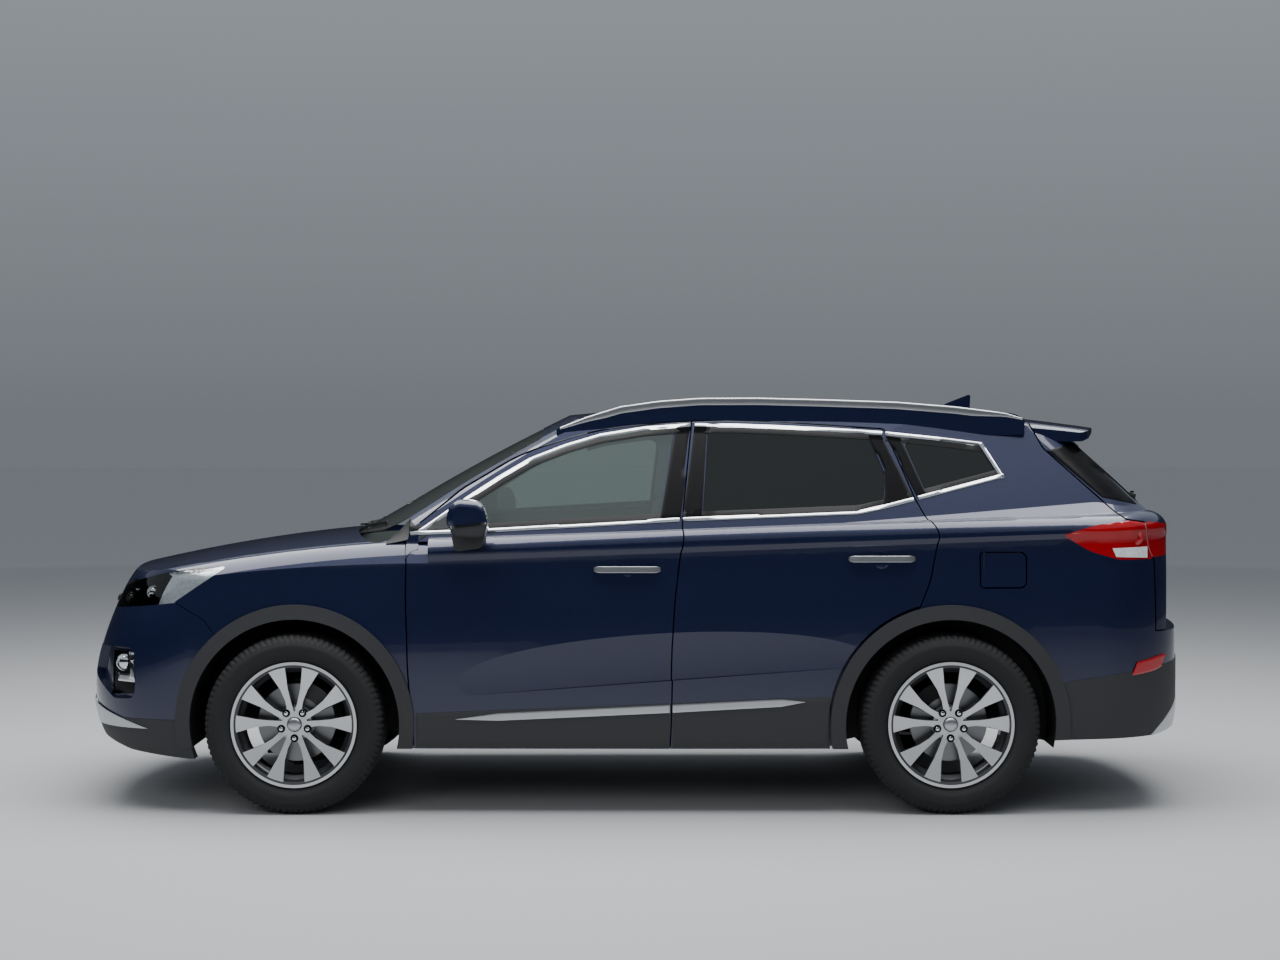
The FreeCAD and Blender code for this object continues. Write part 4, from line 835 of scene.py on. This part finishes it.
def on_wheel(mesh, label, key, paint, slot):
    """A wheel's piece, from a mesh drawn round the origin as on the car's left side."""
    body, x, sign = WHEELS[key]
    piece = new_object("%s_%s" % (label, key), mesh)
    if sign > 0:
        flip(piece)
    piece.data.transform(Matrix.Translation((x, sign * TRACK_HALF, TYRE_R)))
    return dress(piece, piece.name, body, paint, slot)


for key in WHEELS:
    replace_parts(on_wheel(model.data.copy(), "tread_tyre", key, RUBBER, "tyre_rubber"), "tyre_" + key)
    on_wheel(disc.data.copy(), "brake_disc", key, DISC, "steel")
    on_wheel(dome.data.copy(), "cap_dome", key, SATIN, "machined_alloy")
    # the gloss black discs under the nuts are painted shade in the nut bores
    for source, label, paint, drop in ((nut, "wheel_nuts", CHROME, 0.006), (bore_shade_disc, "nut_cups", PIANO, 0.0010)):
        group, mesh = bmesh.new(), bpy.data.meshes.new(label)
        for k in range(NUTS):
            turn = math.radians(360 / NUTS * k + 36)
            copy = source.data.copy()
            copy.transform(Matrix.Translation((NUT_R * math.sin(turn), DISH_FACE - drop, NUT_R * math.cos(turn))))
            group.from_mesh(copy)
            bpy.data.meshes.remove(copy)
        group.to_mesh(mesh)
        group.free()
        on_wheel(mesh, label, key, paint, "machined_alloy")
for source in (model, nut, bore_shade_disc, disc, dome):
    bpy.data.objects.remove(source)
print("tread blocks:", BLOCKS, "per shoulder")

# %% Wheel-arch liners
LINER_R, LINER_HOLE_R, LINER_OUT, LINER_FROM, LINER_SPAN = 0.4365, 0.14, -0.880, -13, 206


def liner(name, x, y_in):
    """A wall behind the wheel, from LINER_HOLE_R outward, and the drum over it. Angles are in degrees from +X."""
    obj = grid(48, 6)
    for v in obj.data.vertices:
        turn, share = math.radians(LINER_FROM + LINER_SPAN * (v.co.x + 0.5)), v.co.y + 0.5
        if share < 0.5:
            reach, y = LINER_HOLE_R + (LINER_R - LINER_HOLE_R) * share * 2, y_in
        else:
            reach, y = LINER_R, y_in + (LINER_OUT - y_in) * (share - 0.5) * 2
        v.co = (x + reach * math.cos(turn), y, TYRE_R + reach * math.sin(turn))
    apply(obj, "SOLIDIFY", thickness=0.002, offset=0.0)
    dress(obj, name, "body", CHASSIS)


liner("arch_liner_front_left", WHEELS["fl"][1], -0.462)
liner("arch_liner_rear_left", WHEELS["rl"][1], -0.657)

# %% [markdown]
# ## Roof
# The rails are satin bars that stand on a painted ridge and follow its upper edge.

# %% Rails, tail trims and rear wiper
NODES["roof_rails"].data.materials[0] = LACQUER
RAIL_TOP = [(-0.318, 1.590), (-0.200, 1.636), (-0.060, 1.6795), (0.100, 1.702), (0.270, 1.7145), (0.520, 1.7155),
            (0.800, 1.7085), (1.100, 1.6985), (1.350, 1.6785), (1.560, 1.6525), (1.636, 1.6300)]
RAIL_H, RAIL_IN, RAIL_OUT, RAIL_LIFT = 0.032, -0.6015, -0.6365, 0.001
bar = grid(80, 1)
for v in bar.data.vertices:
    share, side = v.co.x + 0.5, v.co.y > 0
    x, z = along(RAIL_TOP, share)
    drop = 0.0 if side else RAIL_H * min(1.0, 0.35 + 6 * min(share, 1 - share))
    v.co = (x, RAIL_OUT, z + RAIL_LIFT - drop)
if sum(face.normal.y for face in bar.data.polygons) > 0:
    bar.data.flip_normals()
apply(bar, "SOLIDIFY", thickness=RAIL_IN - RAIL_OUT, offset=-1.0)
round_edges(bar, 0.006)
dress(bar, "roof_rail_bar_left", "body", SATIN)

TAIL_TRIM = [(1.735, 1.494), (1.955, 1.300)], [(1.862, 1.527), (2.112, 1.268)]
GATE_SKIN = skin_of("tailgate")
dress(band(*TAIL_TRIM, 30, 8, 1.6, 0.4, 0.5, skin=GATE_SKIN), "tail_window_trim_left", "tailgate", PIANO)
spindle = turned([(0.0, 0.030), (0.012, 0.029), (0.021, 0.024), (0.025, 0.015), (0.025, 0.004), (0.018, 0.0),
                  (0.0, 0.0)], (0, 0, 0), 40, "X")
spindle.data.transform(Matrix.Translation((2.215, 0, 1.262)))
dress(spindle, "rear_wiper_spindle", "tailgate", PIANO)

REAR_PANE = skin_of("rear_glass")
OUT = Vector((0.68, 0, 0.73))


def on_pane(y, z, lift):
    return REAR_PANE.ray_cast(Vector((3, y, z)), Vector((-1, 0, 0)))[0] + OUT * lift


blade = rod([on_pane(0.04 - 0.04 * i, 1.290, 0.010) for i in range(12)], 0.008, 0.014, 0.002)
dress(blade, "rear_wiper_blade", "tailgate", SEAL)
arm = rod([on_pane(-0.05 * i, 1.268 + 0.006 * i, 0.022) for i in range(5)], 0.016, 0.008, 0.002)
dress(arm, "rear_wiper_arm", "tailgate", PIANO)

# %% [markdown]
# ## Cabin
# Seen through glass the cabin has to look soft: black vinyl on doors and sides, pale felt under the roof. Thin
# layers over the panels' inner faces do that without touching the panels.

# %% Door cards, roof lining and side trim
REARWARD, CABIN_T, CABIN_LIFT = Vector((1, 0, 0)), 1.2, 0.3
for key, sign, body in (("door_fl", -1, DOOR_F), ("door_fr", 1, "front_door_right"),
                        ("door_rl", -1, DOOR_R), ("door_rr", 1, "rear_door_right")):
    card = panel_skin(key, (), lambda c, n: n.y * sign < -0.35 and abs(c.y) < 0.885, CABIN_T, CABIN_LIFT)
    dress(card, "door_card_" + key[-2:], body, VINYL)
lining = panel_skin("roof", [(Vector((1.55, 0, 1.5)), REARWARD)], lambda c, n: n.z < -0.6 and c.z > 1.5,
                    CABIN_T, CABIN_LIFT)
dress(lining, "roof_lining", "body", LINER, "seat_cloth")
for side, sign in (("left", -1), ("right", 1)):
    trim = panel_skin("body_side_" + side, [(Vector((1.9, 0, 1)), REARWARD)],
                      lambda c, n: n.y * sign < -0.5 and abs(c.y) < 0.83, CABIN_T, CABIN_LIFT)
    dress(trim, "side_trim_" + side, "body", VINYL)

# %% [markdown]
# Foam under cloth strains against its cover. Each pad starts a little too small and a cloth simulation blows it
# up from inside, with a cap on how far any point may go. The sewn seams are pressed in afterwards.

# %% Seats
SEAT_Y, VOXEL_MM, SWELL_MM = 0.370, 14.0, 11.0
SEAM_DEEP, SEAM_HALF = 0.006, 0.011


def pad(name, corners, y_mid, width, dip_mm, seams, voxel_mm=VOXEL_MM, swell_mm=SWELL_MM):
    """A stuffed pad. Corners are side-view points: two along its back or underside, then two along its face."""
    obj = start_primitive(bpy.ops.mesh.primitive_cube_add, size=1)
    edit(obj, (bpy.ops.mesh.subdivide, {"number_cuts": 9}))
    a, b, c, d = [Vector((x, 0, z)) for x, z in corners]
    face_way = ((d - a).normalized() + (c - b).normalized()).normalized()
    for v in obj.data.vertices:
        u, w, across = v.co.x + 0.5, v.co.z + 0.5, 2 * v.co.y
        point = a.lerp(b, u).lerp(d.lerp(c, u), w) - face_way * dip_mm * MM * w * max(0.0, 1 - (across / 0.6) ** 4)
        v.co = (point.x, y_mid + across * width / 2, point.z)
    apply(obj, "SUBSURF", levels=1, render_levels=1)
    apply(obj, "REMESH", mode="VOXEL", voxel_size=voxel_mm * MM)
    start = [v.co.copy() for v in obj.data.vertices]
    swell = obj.modifiers.new("swell", "CLOTH")
    swell.settings.use_pressure = True
    swell.settings.uniform_pressure_force = 4.0
    swell.settings.effector_weights.gravity = 0.0
    for number in range(1, 21):
        scene.frame_set(number)
    blown = [v.co.copy() for v in obj.evaluated_get(bpy.context.evaluated_depsgraph_get()).data.vertices]
    obj.modifiers.remove(swell)
    for v, before, after in zip(obj.data.vertices, start, blown):
        step = after - before
        v.co = before + step * min(1.0, swell_mm * MM / max(step.length, 1e-9))
    scene.frame_set(1)
    apply(obj, "SUBSURF", levels=1, render_levels=1)
    normals = [v.normal.copy() for v in obj.data.vertices]
    for v, normal in zip(obj.data.vertices, normals):
        near = min([abs((v.co - Vector(place)).dot(Vector(way).normalized())) for place, way in seams] or [1.0])
        if near < SEAM_HALF and normal.dot(face_way) > 0.2:
            v.co -= normal * SEAM_DEEP * (1 - (near / SEAM_HALF) ** 2)
    dress(obj, name, "body", CLOTH, smooth=60)
    return obj


def lengthways(*ys):
    """Seams that run along the car, as a point and the way across each."""
    return [((0, y, 0), (0, 1, 0)) for y in ys]


SEAT_W, SEAT_DIP, BENCH_W = 0.474, 14.0, 1.150
SEAT_SEAMS, BENCH_SEAMS = lengthways(-SEAT_Y - 0.150, -SEAT_Y + 0.150), lengthways(-0.200, 0.200, -0.440, 0.440)
HEADREST = (), 10.0, 6.0  # no seams, then voxel and swell in mm
pad("seat_cushion_left", [(-0.276, 0.462), (0.215, 0.462), (0.200, 0.552), (-0.256, 0.572)], -SEAT_Y, SEAT_W, SEAT_DIP,
    SEAT_SEAMS + [((-0.060, 0, 0.57), (1, 0, 0)), ((-0.160, 0, 0.57), (1, 0, 0))])
pad("seat_back_left", [(0.305, 0.500), (0.478, 1.088), (0.398, 1.098), (0.226, 0.556)], -SEAT_Y, SEAT_W, SEAT_DIP,
    SEAT_SEAMS + [((0.330, 0, 0.85), (0.31, 0, 0.95)), ((0.380, 0, 0.98), (0.31, 0, 0.95))])
pad("seat_headrest_left", [(0.490, 1.128), (0.488, 1.252), (0.416, 1.252), (0.412, 1.128)], -SEAT_Y, 0.226, 4.0,
    *HEADREST)
pad("bench_cushion", [(0.748, 0.552), (1.128, 0.552), (1.120, 0.680), (0.766, 0.690)], 0.0, BENCH_W, 0.0, BENCH_SEAMS)
pad("bench_back", [(1.288, 0.716), (1.374, 1.140), (1.310, 1.150), (1.166, 0.716)], 0.0, BENCH_W, 0.0, BENCH_SEAMS)
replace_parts(bpy.data.objects["bench_cushion"], "seats")
rest = pad("bench_headrest_left", [(1.390, 1.164), (1.390, 1.262), (1.322, 1.262), (1.320, 1.164)], -0.360, 0.220, 3.0,
           *HEADREST)
middle = new_object("bench_headrest_middle", rest.data.copy())
middle.data.transform(Matrix.Translation((0, 0.360, 0)))
dress(middle, middle.name, "body", CLOTH, smooth=60)

# %% [markdown]
# Under each front pad is a moulded base, and every headrest stands on two polished posts.

# %% Seat bases and posts
def block(name, low, high, bevel):
    obj = start_primitive(bpy.ops.mesh.primitive_cube_add, size=1)
    for v in obj.data.vertices:
        v.co = [(a if c < 0 else b) for a, b, c in zip(low, high, v.co)]
    apply(obj, "BEVEL", width=bevel, segments=3)
    dress(obj, name, "body", VINYL)


block("seat_base_left", (-0.195, -SEAT_Y - 0.200, 0.3815), (0.195, -SEAT_Y + 0.200, 0.455), 0.012)
block("seat_valance_left", (-0.215, -SEAT_Y - 0.235, 0.405), (0.250, -SEAT_Y + 0.235, 0.470), 0.016)
block("bench_base", (0.905, -0.570, 0.6620), (1.270, 0.570, 0.700), 0.010)
block("bench_front", (0.790, -0.570, 0.520), (0.880, 0.570, 0.575), 0.010)

POST_R, POST_APART = 0.006, 0.110


def posts(name, x, y_mid, z0, z1):
    both = bmesh.new()
    for side in (-POST_APART / 2, POST_APART / 2):
        made = bmesh.ops.create_cone(both, cap_ends=True, segments=20, radius1=POST_R, radius2=POST_R, depth=z1 - z0)
        bmesh.ops.translate(both, verts=made["verts"], vec=(x, y_mid + side, (z0 + z1) / 2))
    obj = new_object(name, bpy.data.meshes.new(name))
    both.to_mesh(obj.data)
    both.free()
    dress(obj, name, "body", CHROME)


posts("seat_posts_left", 0.452, -SEAT_Y, 1.070, 1.150)
posts("bench_posts_left", 1.356, -0.360, 1.120, 1.180)
posts("bench_posts_middle", 1.356, 0.0, 1.120, 1.180)

# %% [markdown]
# ## The other side
# A car is the same on both sides, so every left piece gets a mirrored twin that rides on the right-hand body.

# %% Mirror images
lefts = [obj for obj in scene.objects if obj.type == "MESH" and obj.name.endswith("_left") and
         "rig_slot" in obj and "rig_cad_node" not in obj and not obj.name.startswith(("side_trim", "tailgate_lamp"))]
for obj in lefts:
    twin = other_side(obj)
print("mirrored pieces:", len(lefts))
